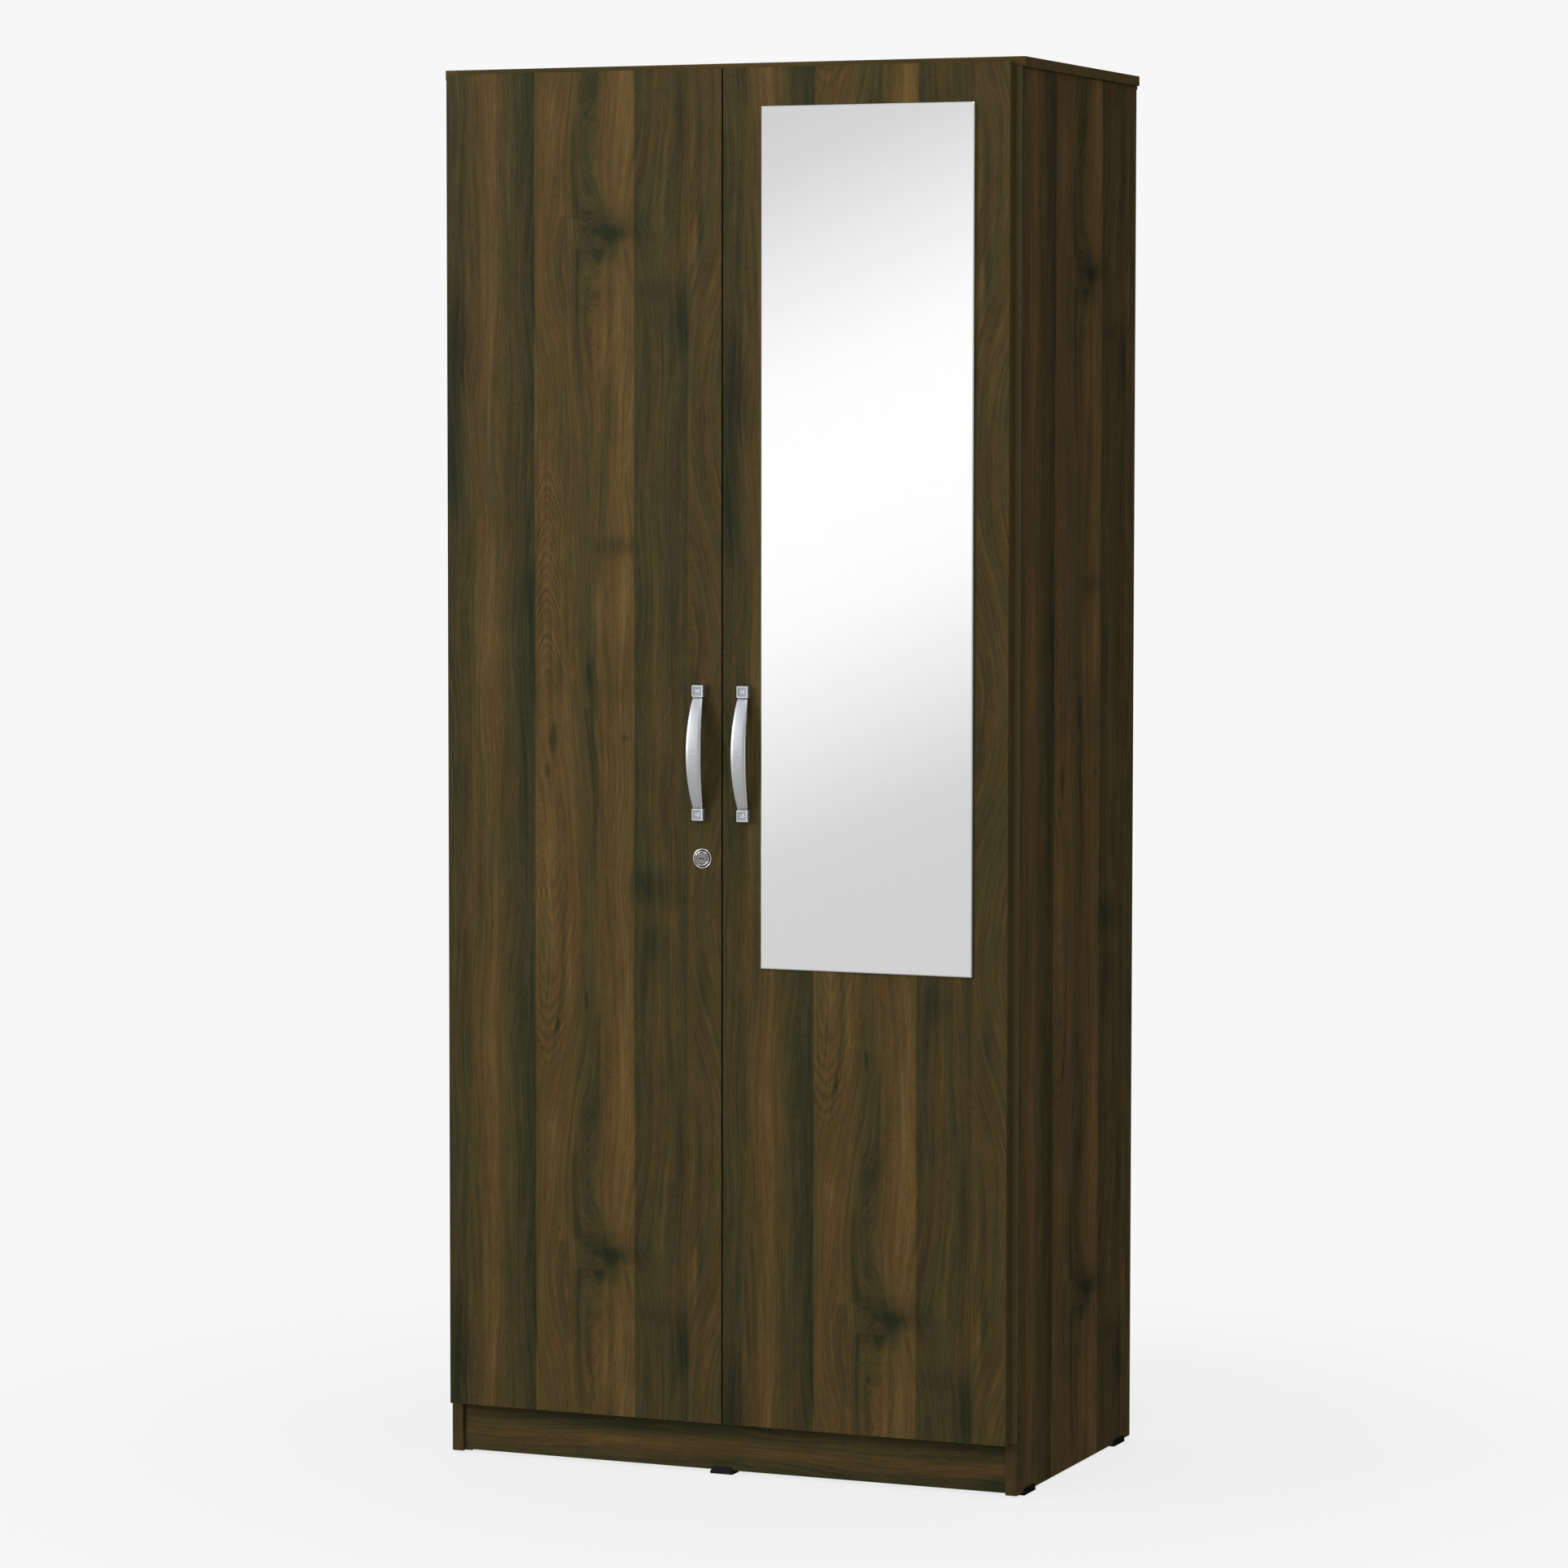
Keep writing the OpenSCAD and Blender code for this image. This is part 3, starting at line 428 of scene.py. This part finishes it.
looks = {
    "left_door": walnut("walnut_left_door", Y, Z, left_door_places),
    # The right door's edge bands are painted lighter than the left door's: a painted highlight on its
    # visible outer edge
    "right_door": walnut("walnut_right_door", Y, Z, right_door_places, band_tone=0.48),
    # The sides' front edge bands carry a painted highlight beside the door
    "side": walnut("walnut_side", X, Z, side_places, band_tone=0.36, tint=(1.10, 1.03, 1.01, 1),
                   contrast=0.8, beside_door=(side_low.y, right_door_low.z)),
    "top": walnut("walnut_top", Z, X, top_places, band_tone=0.62),
    "plinth": walnut("walnut_plinth", Y, X, plinth_places, planks=PLINTH_PLANKS, span=72.0),
    "inner": walnut("walnut_inner", Z, X, inner_places, band_tone=0.5),
    "partition": walnut("walnut_partition", X, Z, partition_places, band_tone=0.5),
}


# ---- Other materials ----

WIDE_PATCHES = 23   # the wide patches are this many times larger than the fine grain


def speckled(name, colour, rough, metallic=0.0, grain=1500.0, spread=0.08, depth=0.03 * MM, tint=0.12,
             stretch=(1, 1, 1), **constants):
    """A plain material with fine grain and wide patches in its colour and roughness."""
    material, shader, g = new_material(name, Metallic=metallic, **constants)
    axes = g.separate(g.coordinates("Object"))
    fine = g.noise(g.scaled(axes, [grain * part for part in stretch]), detail=3.0, roughness=0.6)
    wide = g.noise(g.scaled(axes, [grain * part / WIDE_PATCHES for part in stretch]), detail=2.0)
    shade = g.add(g.times(fine, 0.6), g.times(wide, 0.4))
    shade = g.remap(shade, 0.3, 0.7, 1 - tint, 1 + tint, smooth=False)
    g.put(shader.inputs["Base Color"], g.mix(1.0, colour, shade, "MULTIPLY"))
    dull = g.add(g.times(fine, 0.5), g.times(wide, 0.5))
    dull = g.remap(dull, 0.3, 0.7, rough - spread, rough + spread, smooth=False)
    g.put(shader.inputs["Roughness"], dull)
    g.put(shader.inputs["Normal"], g.bump(fine, depth, 0.5))
    return material


def metal(name, colour, rough, grain, spread, depth, tint, metallic=1.0):
    """A speckled metal; depth is in mm."""
    return speckled(name, (*colour, 1), rough, metallic, grain, spread, depth * MM, tint)


looks["satin"] = metal("satin_metal", (0.44, 0.455, 0.47), 0.42, 2600.0, 0.05, 0.01, 0.04, metallic=0.85)
looks["matte"] = metal("matte_metal", (0.31, 0.33, 0.37), 0.55, 2600.0, 0.05, 0.015, 0.06, metallic=0.8)
# Near-black metal for the lock's grooves: painted shade where the rings dip
looks["groove"] = metal("lock_groove_painted_shade", (0.04, 0.038, 0.036), 0.3, 1400.0, 0.05, 0.005, 0.1)
looks["plug"] = metal("lock_plug_face", (0.26, 0.26, 0.24), 0.2, 1400.0, 0.06, 0.006, 0.1)
# Polished rims: smoother than the satin, and their colour painted far brighter as a painted highlight
looks["rim"] = metal("polished_rim_painted_highlight", (0.92, 0.93, 0.95), 0.2, 1200.0, 0.03, 0.004, 0.02)
looks["chrome"] = metal("chrome", (0.82, 0.80, 0.79), 0.11, 800.0, 0.03, 0.003, 0.03)
looks["nickel"] = metal("nickel_plate", (0.62, 0.61, 0.58), 0.24, 1400.0, 0.06, 0.006, 0.06)
looks["zinc"] = metal("zinc_plate", (0.50, 0.51, 0.53), 0.38, 1100.0, 0.08, 0.01, 0.10)
looks["mirror"] = metal("mirror_silver", (0.91, 0.91, 0.91), 0.012, 40.0, 0.004, 0.0, 0.006)
looks["glass_edge"] = metal("glass_edge", (0.86, 0.92, 0.90), 0.10, 500.0, 0.03, 0.004, 0.04, metallic=0.6)
looks["plastic"] = speckled("black_plastic", linear(20, 17, 18), 0.5, grain=2200.0, tint=0.15,
                            Specular_IOR_Level=0.15)
looks["hardboard"] = speckled("hardboard", linear(122, 92, 62), 0.66, grain=420.0, tint=0.22,
                              depth=0.05 * MM, stretch=(1, 1, 0.6))
looks["tape"] = speckled("foam_tape", linear(58, 58, 60), 0.85, grain=1600.0, tint=0.2, depth=0.08 * MM)
looks["pad"] = speckled("soft_pad", linear(214, 214, 208), 0.35, grain=900.0, tint=0.04,
                        Transmission_Weight=0.3)

SHELVES = ["left_shelf_1", "left_shelf_2", "left_shelf_3", "left_upper_shelf", "right_upper_shelf"]
LOOK_OF_NODES = {
    "left_door": ["left_door"],
    "right_door": ["right_door"],
    "side": ["left_side_panel", "right_side_panel"],
    "top": ["top_panel"],
    "plinth": ["front_plinth", "rear_plinth"],
    "inner": ["bottom_panel"] + SHELVES,
    "partition": ["centre_partition"],
    "hardboard": ["left_back_board", "right_back_board"],
    "plastic": ["back_joiner", "back_top_strip", "left_front_glide", "left_rear_glide",
                "right_front_glide", "right_rear_glide", "centre_front_glide", "centre_rear_glide"],
    "satin": ["left_handle", "right_handle"],
    "chrome": ["hanging_rail", "left_rail_socket", "right_rail_socket", "lock_cylinder", "lock_bolt"],
    "plug": ["lock_plug"],
    "nickel": ["left_hinge_cups", "right_hinge_cups", "left_hinge_arms", "right_hinge_arms"],
    "zinc": ["back_nails", "shelf_pins", "rail_socket_screws", "cam_locks", "cam_bolts",
             "left_handle_screws", "right_handle_screws", "left_hinge_pins", "right_hinge_pins",
             "left_hinge_plates", "right_hinge_plates", "left_cup_screws", "right_cup_screws",
             "hinge_plate_screws", "lock_case", "lock_case_screws", "lock_strike", "strike_screws"],
    "mirror": ["mirror_glass"],
    "tape": ["mirror_tape"],
    "pad": ["left_bumpers", "right_bumpers"],
}
for look, members in LOOK_OF_NODES.items():
    for member in members:
        nodes[member].data.materials.clear()
        nodes[member].data.materials.append(looks[look])


# ---- Mesh building ----

CORNER_STEPS = 4   # flats round each corner of a rounded square


def add_piece(name, shape, materials, body, replaced):
    """Turns a bmesh into a piece that rides on a body and stands for a CAD node."""
    bmesh.ops.recalc_face_normals(shape, faces=shape.faces)
    mesh = bpy.data.meshes.new(name)
    shape.to_mesh(mesh)
    shape.free()
    for material in materials:
        mesh.materials.append(material)
    piece = bpy.data.objects.new(name, mesh)
    bpy.context.scene.collection.objects.link(piece)
    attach(piece, body)
    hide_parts(replaced)


def loft(shape, rings, slots=None, joined=False, smooth=False):
    """Skins rings that have the same number of points; slots holds one material number per band.

    A joined loft closes on itself; any other gets a flat face at each end. Returns the rings' vertices.
    """
    made = [[shape.verts.new(point) for point in ring] for ring in rings]
    pairs = zip(made, made[1:] + made[:1] if joined else made[1:])
    for number, (ring, following) in enumerate(pairs):
        for i in range(len(ring)):
            j = (i + 1) % len(ring)
            face = shape.faces.new((ring[i], ring[j], following[j], following[i]))
            face.material_index = slots[number] if slots else 0
            face.smooth = smooth
    if not joined:
        shape.faces.new(made[0])
        shape.faces.new(made[-1])
    return made


def sharpen(shape, degrees):
    """Keeps edges that turn by more than an angle crisp in smooth shading."""
    for edge in shape.edges:
        if edge.calc_face_angle(0.0) > math.radians(degrees):
            edge.smooth = False


def rounded_square(half_x, half_z, radius, y, centre_x, centre_z):
    """Points round a square with rounded corners, facing along Y."""
    points = []
    for corner, (sign_x, sign_z) in enumerate(((1, 1), (-1, 1), (-1, -1), (1, -1))):
        for step in range(CORNER_STEPS + 1):
            turn = math.radians(90) * (corner + step / CORNER_STEPS)
            points.append((centre_x + sign_x * (half_x - radius) + radius * math.cos(turn), y,
                           centre_z + sign_z * (half_z - radius) + radius * math.sin(turn)))
    return points


def middle_of(low, high):
    return (low.x + high.x) / 2, (low.z + high.z) / 2


# ---- Boards with rounded edges ----

BOARD_ROUND = 0.9 * MM
NEAR = 1e-5    # metres within which a vertex counts as lying on its box
WELD = 1e-6


def soften(node, body):
    """A copy of a CAD board, rounded along the edges of its box."""
    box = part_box(node)
    shape = bmesh.new()
    shape.from_mesh(nodes[node].data)
    bmesh.ops.remove_doubles(shape, verts=shape.verts, dist=WELD)
    bmesh.ops.dissolve_limit(shape, angle_limit=math.radians(0.5), verts=shape.verts, edges=shape.edges)

    def sides(vert):
        return {(axis, end) for axis in (X, Y, Z) for end, limit in enumerate(box)
                if abs(vert.co[axis] - limit[axis]) < NEAR}

    rims = [edge for edge in shape.edges if len(sides(edge.verts[0]) & sides(edge.verts[1])) == 2]
    bmesh.ops.bevel(shape, geom=rims, offset=BOARD_ROUND, segments=3, profile=0.5, affect="EDGES",
                    clamp_overlap=True)
    add_piece(node + "_board", shape, list(nodes[node].data.materials), body, node)


for board in ("left_side_panel", "right_side_panel"):
    soften(board, "carcass")
for board in ("top_panel", "front_plinth"):
    soften(board, "carcass")
for board in SHELVES:
    soften(board, "carcass")
for board in ("left_door", "right_door"):
    soften(board, board)


# ---- Bow handles ----

PAD_RISE = 0.4 * MM      # the middle pad, above the strap
PAD_HALF = 3.6 * MM
PAD_CORNER = 0.5 * MM
BLOCK = 16 * MM
BLOCK_DEEP = 9 * MM
BLOCK_CORNER = 0.9       # mm
STRAP_THICK = 3.5 * MM
STRAP_WIDE = 21 * MM
STRAP_NARROW = 15 * MM
STRAP_STATIONS = 48
STRAP_BACK_ROUND = 0.5 * MM
CROWN = 0.25 * MM        # how far the strap's face drops towards its rims
CROWN_STEPS = 6
RIM_WIDE = 1.5 * MM
RIM_DEEP = 1.3 * MM
SATIN, RIM, MATTE = 0, 1, 2

# Rings of a block, from the door outwards, in mm: half size, height, and the material up to the next ring.
# A side, a polished rim painted bright as a painted highlight, a sunken face, and a small square pad on it
BLOCK_RINGS = [(8.0, 0.0, MATTE), (8.0, 7.9, RIM), (7.2, 9.0, RIM), (6.2, 9.0, MATTE), (5.9, 8.2, MATTE),
               (3.1, 8.2, RIM), (2.4, 8.9, SATIN)]


def arc_radius(half_chord, rise):
    return (half_chord ** 2 + rise ** 2) / (2 * rise)


def strap_section(half_wide):
    """Points round the strap as (x, depth under its face), from one back edge over the face to the other."""
    inner = half_wide - RIM_WIDE
    side = [(half_wide, RIM_DEEP), (half_wide, STRAP_THICK - STRAP_BACK_ROUND),
            (half_wide - STRAP_BACK_ROUND, STRAP_THICK)]
    face = []
    for step in range(CROWN_STEPS + 1):
        part = 2 * step / CROWN_STEPS - 1
        face.append((inner * part, CROWN * part ** 2))
    return [(-x, depth) for x, depth in reversed(side)] + face + side


def bow_handle(side):
    """A bowed strap between two square blocks, with polished rims that carry a painted highlight, and plain
    square pads.
    """
    low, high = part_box(side + "_handle")
    middle_x, middle_z = middle_of(low, high)
    face_y = high.y
    out = high.y - low.y - PAD_RISE
    half = (high.z - low.z) / 2 - BLOCK
    bow_radius = arc_radius(half, out - BLOCK_DEEP + PAD_RISE)
    waist_radius = arc_radius(half, (STRAP_WIDE - STRAP_NARROW) / 2)
    shape = bmesh.new()

    # Strap: sections across X, swept round the bow
    rings = []
    for station in range(STRAP_STATIONS + 1):
        turn = math.asin(half / bow_radius) * (2 * station / STRAP_STATIONS - 1)
        place_z = bow_radius * math.sin(turn)
        half_wide = math.sqrt(waist_radius ** 2 - place_z ** 2) - waist_radius + STRAP_WIDE / 2
        ring = []
        for x, depth in strap_section(half_wide):
            radius = bow_radius - depth
            ring.append((middle_x + x, face_y - out + bow_radius - radius * math.cos(turn),
                         middle_z + radius * math.sin(turn)))
        rings.append(ring)
    made = loft(shape, rings)

    # The two bands between the crowned face and the strap's sides are its polished rims, painted far
    # brighter than the satin as a painted highlight
    count = len(rings[0])
    first_face, last_face = 3, 3 + CROWN_STEPS
    rim_bands = ([first_face - 1, first_face], [last_face, last_face + 1])
    places = {vert: i % count for ring in made for i, vert in enumerate(ring)}
    for face in shape.faces:
        spots = sorted({places[vert] for vert in face.verts})
        face.smooth = len(spots) == 2
        if spots in rim_bands:
            face.material_index = RIM
    sharpen(shape, 20)

    # Square pad in the strap's middle
    pad_rings = ((PAD_HALF, -1.0 * MM), (PAD_HALF, 0.1 * MM), (PAD_HALF - 0.35 * MM, PAD_RISE))
    loft(shape, [rounded_square(size, size, PAD_CORNER, face_y - out - height, middle_x, middle_z)
                 for size, height in pad_rings], [RIM, RIM])

    for end in (-1, 1):
        centre_z = middle_z + end * (half + BLOCK / 2)
        loft(shape, [rounded_square(size * MM, size * MM, min(BLOCK_CORNER, size / 3) * MM,
                                    face_y - height * MM, middle_x, centre_z)
                     for size, height, _ in BLOCK_RINGS], [slot for _, _, slot in BLOCK_RINGS[:-1]])
    add_piece(side + "_bow_handle", shape, [looks["satin"], looks["rim"], looks["matte"]], side + "_door",
              side + "_handle")


bow_handle("left")
bow_handle("right")


# ---- Lock ring ----

# Half section from the back of the barrel, round the front and into the bore, in mm:
# radius, height above the door
LOCK_PROFILE = [(6.55, -16.0), (9.5, -16.0), (9.5, 0.0), (12.9, 0.0), (13.0, 0.45), (12.9, 0.95),
                (12.6, 1.35), (12.15, 1.55), (11.7, 1.4), (11.35, 0.9), (11.1, 0.25), (9.9, 0.25),
                (9.7, 1.4), (9.4, 2.3), (8.95, 2.75), (8.5, 2.75), (8.15, 2.2), (7.95, 1.3),
                (7.75, 0.6), (7.1, 0.6), (7.0, 1.4), (6.85, 2.2), (6.55, 2.2)]
# The grooves between these radii are painted near-black as painted shade in the recesses
LOCK_SHADED_GROOVES = ((7.05, 8.0), (9.8, 11.4))   # radii in mm between which a groove is dark
LOCK_SEGMENTS = 72


def lock_ring():
    """The lock's bright stepped ring and its barrel, with painted shade in its grooves."""
    low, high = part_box("lock_cylinder")
    middle_x, middle_z = middle_of(low, high)
    shape = bmesh.new()
    rings = []
    for radius, height in LOCK_PROFILE:
        ring = []
        for segment in range(LOCK_SEGMENTS):
            turn = 2 * math.pi * segment / LOCK_SEGMENTS
            ring.append((middle_x + radius * MM * math.cos(turn), max(low.y, door_face_y - height * MM),
                         middle_z + radius * MM * math.sin(turn)))
        rings.append(ring)
    # The grooves get the near-black metal: painted shade in the recesses
    dark = [int(any(inner < radius < outer for inner, outer in LOCK_SHADED_GROOVES)) for radius, _ in LOCK_PROFILE]
    loft(shape, rings, dark, joined=True, smooth=True)
    sharpen(shape, 50)
    add_piece("lock_ring", shape, [looks["chrome"], looks["groove"]], "left_door", "lock_cylinder")


lock_ring()


# ---- Mirror with polished edges ----

MIRROR_CORNER = 1.5 * MM
MIRROR_BEVEL_DEEP = 0.9 * MM
MIRROR_BEVEL_WIDE = 1.3 * MM


def mirror_sheet():
    """The mirror's glass, ground and polished round its front."""
    low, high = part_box("mirror_glass")
    half_x, half_z = (high.x - low.x) / 2, (high.z - low.z) / 2
    steps = [(0.0, high.y), (0.0, low.y + MIRROR_BEVEL_DEEP), (MIRROR_BEVEL_WIDE, low.y)]
    shape = bmesh.new()
    loft(shape, [rounded_square(half_x - inset, half_z - inset, MIRROR_CORNER, y, *middle_of(low, high))
                 for inset, y in steps], [1, 1])
    add_piece("mirror_sheet", shape, [looks["mirror"], looks["glass_edge"]], "right_door",
              "mirror_glass")


mirror_sheet()


# ---- Studio ----

BACKDROP = linear(247, 247, 247)
ROOM_STRENGTH = 0.62
SHINE_STRENGTH = 1.12

# Light from the room by direction, from straight down (0) to straight up (1)
ROOM = [(0.0, (0.86, 0.84, 0.80, 1)), (0.46, (0.90, 0.89, 0.88, 1)), (0.56, (0.96, 0.965, 0.98, 1)),
        (1.0, (1.0, 1.02, 1.05, 1))]

# What shines sees a grey wall with a white band: grey level by degrees above the horizon
WHITE_BAND = [(-4.8, 206), (-3.7, 222), (-2.1, 252), (0.6, 255), (2.3, 222), (3.4, 205)]
BAND_REACH = 20.0    # degrees that the band's ramp covers
BAND_LEAN = 0.42     # the band's slope straight in front of the mirror
BAND_WAVES = 6.0
BAND_LEVEL = 21.6    # degrees round from the front where the leaning band crosses its own height

# The same wall's brightness by direction, from straight down (0) to straight up (1)
WALL = [(0.0, (0.60, 0.58, 0.54, 1)), (0.06, (0.85, 0.82, 0.76, 1)), (0.13, (1.10, 1.07, 1.00, 1)),
        (0.36, (1.08, 1.06, 1.01, 1)), (0.45, (1.0, 1.0, 1.0, 1)), (0.56, (1.0, 1.0, 1.0, 1)),
        (0.75, (1.10, 1.15, 1.22, 1)), (0.87, (1.15, 1.20, 1.27, 1)), (0.94, (0.85, 0.88, 0.94, 1)),
        (1.0, (0.60, 0.62, 0.66, 1))]
WALL_BEHIND = 0.04         # its brightness behind the wardrobe
DIM_PART = (8, 20, 46, 58)   # degrees to the right of the front where it is dimmer: from, full, full, to
DIM_AMOUNT = 0.6


def area_light(name, place, target, size, power):
    data = bpy.data.lights.new(name, "AREA")
    data.shape = "RECTANGLE"
    data.size, data.size_y = size
    data.energy = power
    lamp = bpy.data.objects.new(name, data)
    lamp.location = place
    lamp.rotation_euler = (Vector(target) - Vector(place)).to_track_quat("-Z", "Y").to_euler()
    bpy.context.scene.collection.objects.link(lamp)


def studio_world():
    """A pale backdrop for the camera, a soft room for the boards, and a banded wall for what shines."""
    world = bpy.data.worlds.new("studio")
    world.use_nodes = True
    tree = world.node_tree
    tree.nodes.clear()
    g = Graph(tree)
    axes = g.separate(g.coordinates("Generated"))
    updown = g.affine(axes[Z], 0.5, 0.5)

    def background(colour, strength):
        made = g.node("ShaderNodeBackground")
        g.put(made.inputs["Color"], colour)
        made.inputs["Strength"].default_value = strength
        return made.outputs[0]

    def switch(factor, no, yes):
        made = g.node("ShaderNodeMixShader")
        for socket, value in zip(made.inputs, (factor, no, yes)):
            g.put(socket, value)
        return made.outputs[0]

    turn = g.math("ARCTAN2", axes[X], g.times(axes[Y], -1.0))
    lean = g.math("SINE", g.affine(turn, BAND_WAVES, BAND_WAVES * math.radians(BAND_LEVEL)))
    lean = g.times(lean, -math.degrees(BAND_LEAN / BAND_WAVES))
    rise = g.add(g.times(g.math("ARCSINE", axes[Z]), math.degrees(1.0)), lean)
    band = g.ramp(g.affine(rise, 1 / BAND_REACH, 0.5),
                  [(0.5 + degrees / BAND_REACH, linear(level, level, level))
                   for degrees, level in WHITE_BAND], "B_SPLINE")
    front = g.remap(axes[Y], 0.1, -0.5, WALL_BEHIND, 1.0)
    start, full, still_full, end = (math.radians(degrees) for degrees in DIM_PART)
    dim = g.times(g.remap(turn, start, full), g.remap(turn, end, still_full))
    front = g.times(front, g.affine(dim, -DIM_AMOUNT, 1.0))
    shine = g.mix(1.0, g.mix(1.0, band, g.ramp(updown, WALL), "MULTIPLY"), front, "MULTIPLY")
    path = g.node("ShaderNodeLightPath").outputs
    room = background(g.ramp(updown, ROOM), ROOM_STRENGTH)
    lit = switch(path["Is Glossy Ray"], room, background(shine, SHINE_STRENGTH))
    seen = switch(path["Is Camera Ray"], lit, background(BACKDROP, 1.0))
    g.put(g.node("ShaderNodeOutputWorld").inputs["Surface"], seen)
    bpy.context.scene.world = world


FLOOR_RADIUS = 5.0
FLOOR_FADE = (0.45, 1.6)   # metres from the middle between which the floor fades into the backdrop
FLOOR_GLOW = 0.84          # how much of the floor is backdrop under the wardrobe


def studio_floor():
    """A pale round floor that fades into the backdrop."""
    mesh = bpy.data.meshes.new("studio_floor")
    shape = bmesh.new()
    bmesh.ops.create_circle(shape, cap_ends=True, segments=96, radius=FLOOR_RADIUS)
    shape.to_mesh(mesh)
    shape.free()
    floor = bpy.data.objects.new("studio_floor", mesh)
    bpy.context.scene.collection.objects.link(floor)
    material, shader, g = new_material("studio_floor", Roughness=0.9, Base_Color=(0.86, 0.86, 0.86, 1),
                                       Specular_IOR_Level=0.0)
    length = g.node("ShaderNodeVectorMath", operation="LENGTH")
    g.put(length.inputs[0], g.coordinates("Object"))
    glow = g.node("ShaderNodeEmission")
    glow.inputs["Color"].default_value = BACKDROP
    mixed = g.node("ShaderNodeMixShader")
    g.put(mixed.inputs[0], g.remap(length.outputs["Value"], *FLOOR_FADE, FLOOR_GLOW, 1.0))
    g.put(mixed.inputs[1], shader.outputs[0])
    g.put(mixed.inputs[2], glow.outputs[0])
    g.put(g.tree.nodes["Material Output"].inputs["Surface"], mixed.outputs[0])
    mesh.materials.append(material)
    floor.visible_diffuse = False
    floor.visible_glossy = False


CAMERA_PLACE = (2.7208, -6.6052, 1.3881)
CAMERA_YAW = 22.411     # degrees
CAMERA_PITCH = -3.786
CAMERA_ROLL = 0.059


def studio_camera():
    """A long lens at the right of the wardrobe, looking a little down."""
    data = bpy.data.cameras.new("camera")
    data.sensor_width = 36.0
    data.lens = 123.69
    data.shift_x, data.shift_y = -0.00135, -0.0115
    data.dof.use_dof = False
    data.clip_end = 100.0
    camera = bpy.data.objects.new("camera", data)
    camera.location = CAMERA_PLACE
    aim = Matrix.Rotation(math.radians(CAMERA_YAW), 4, "Z")
    aim = aim @ Matrix.Rotation(math.radians(90 + CAMERA_PITCH), 4, "X")
    aim = aim @ Matrix.Rotation(math.radians(CAMERA_ROLL), 4, "Z")
    camera.rotation_euler = aim.to_euler()
    bpy.context.scene.collection.objects.link(camera)
    bpy.context.scene.camera = camera


studio_camera()
studio_world()
studio_floor()
area_light("key", (-3.2, -3.2, 1.9), (0.0, -0.2, 0.75), (1.5, 1.8), 86.0)
area_light("top_fill", (0.3, -2.2, 3.4), (0.0, -0.2, 1.7), (1.6, 1.0), 16.0)
bpy.context.scene.view_settings.view_transform = "Standard"
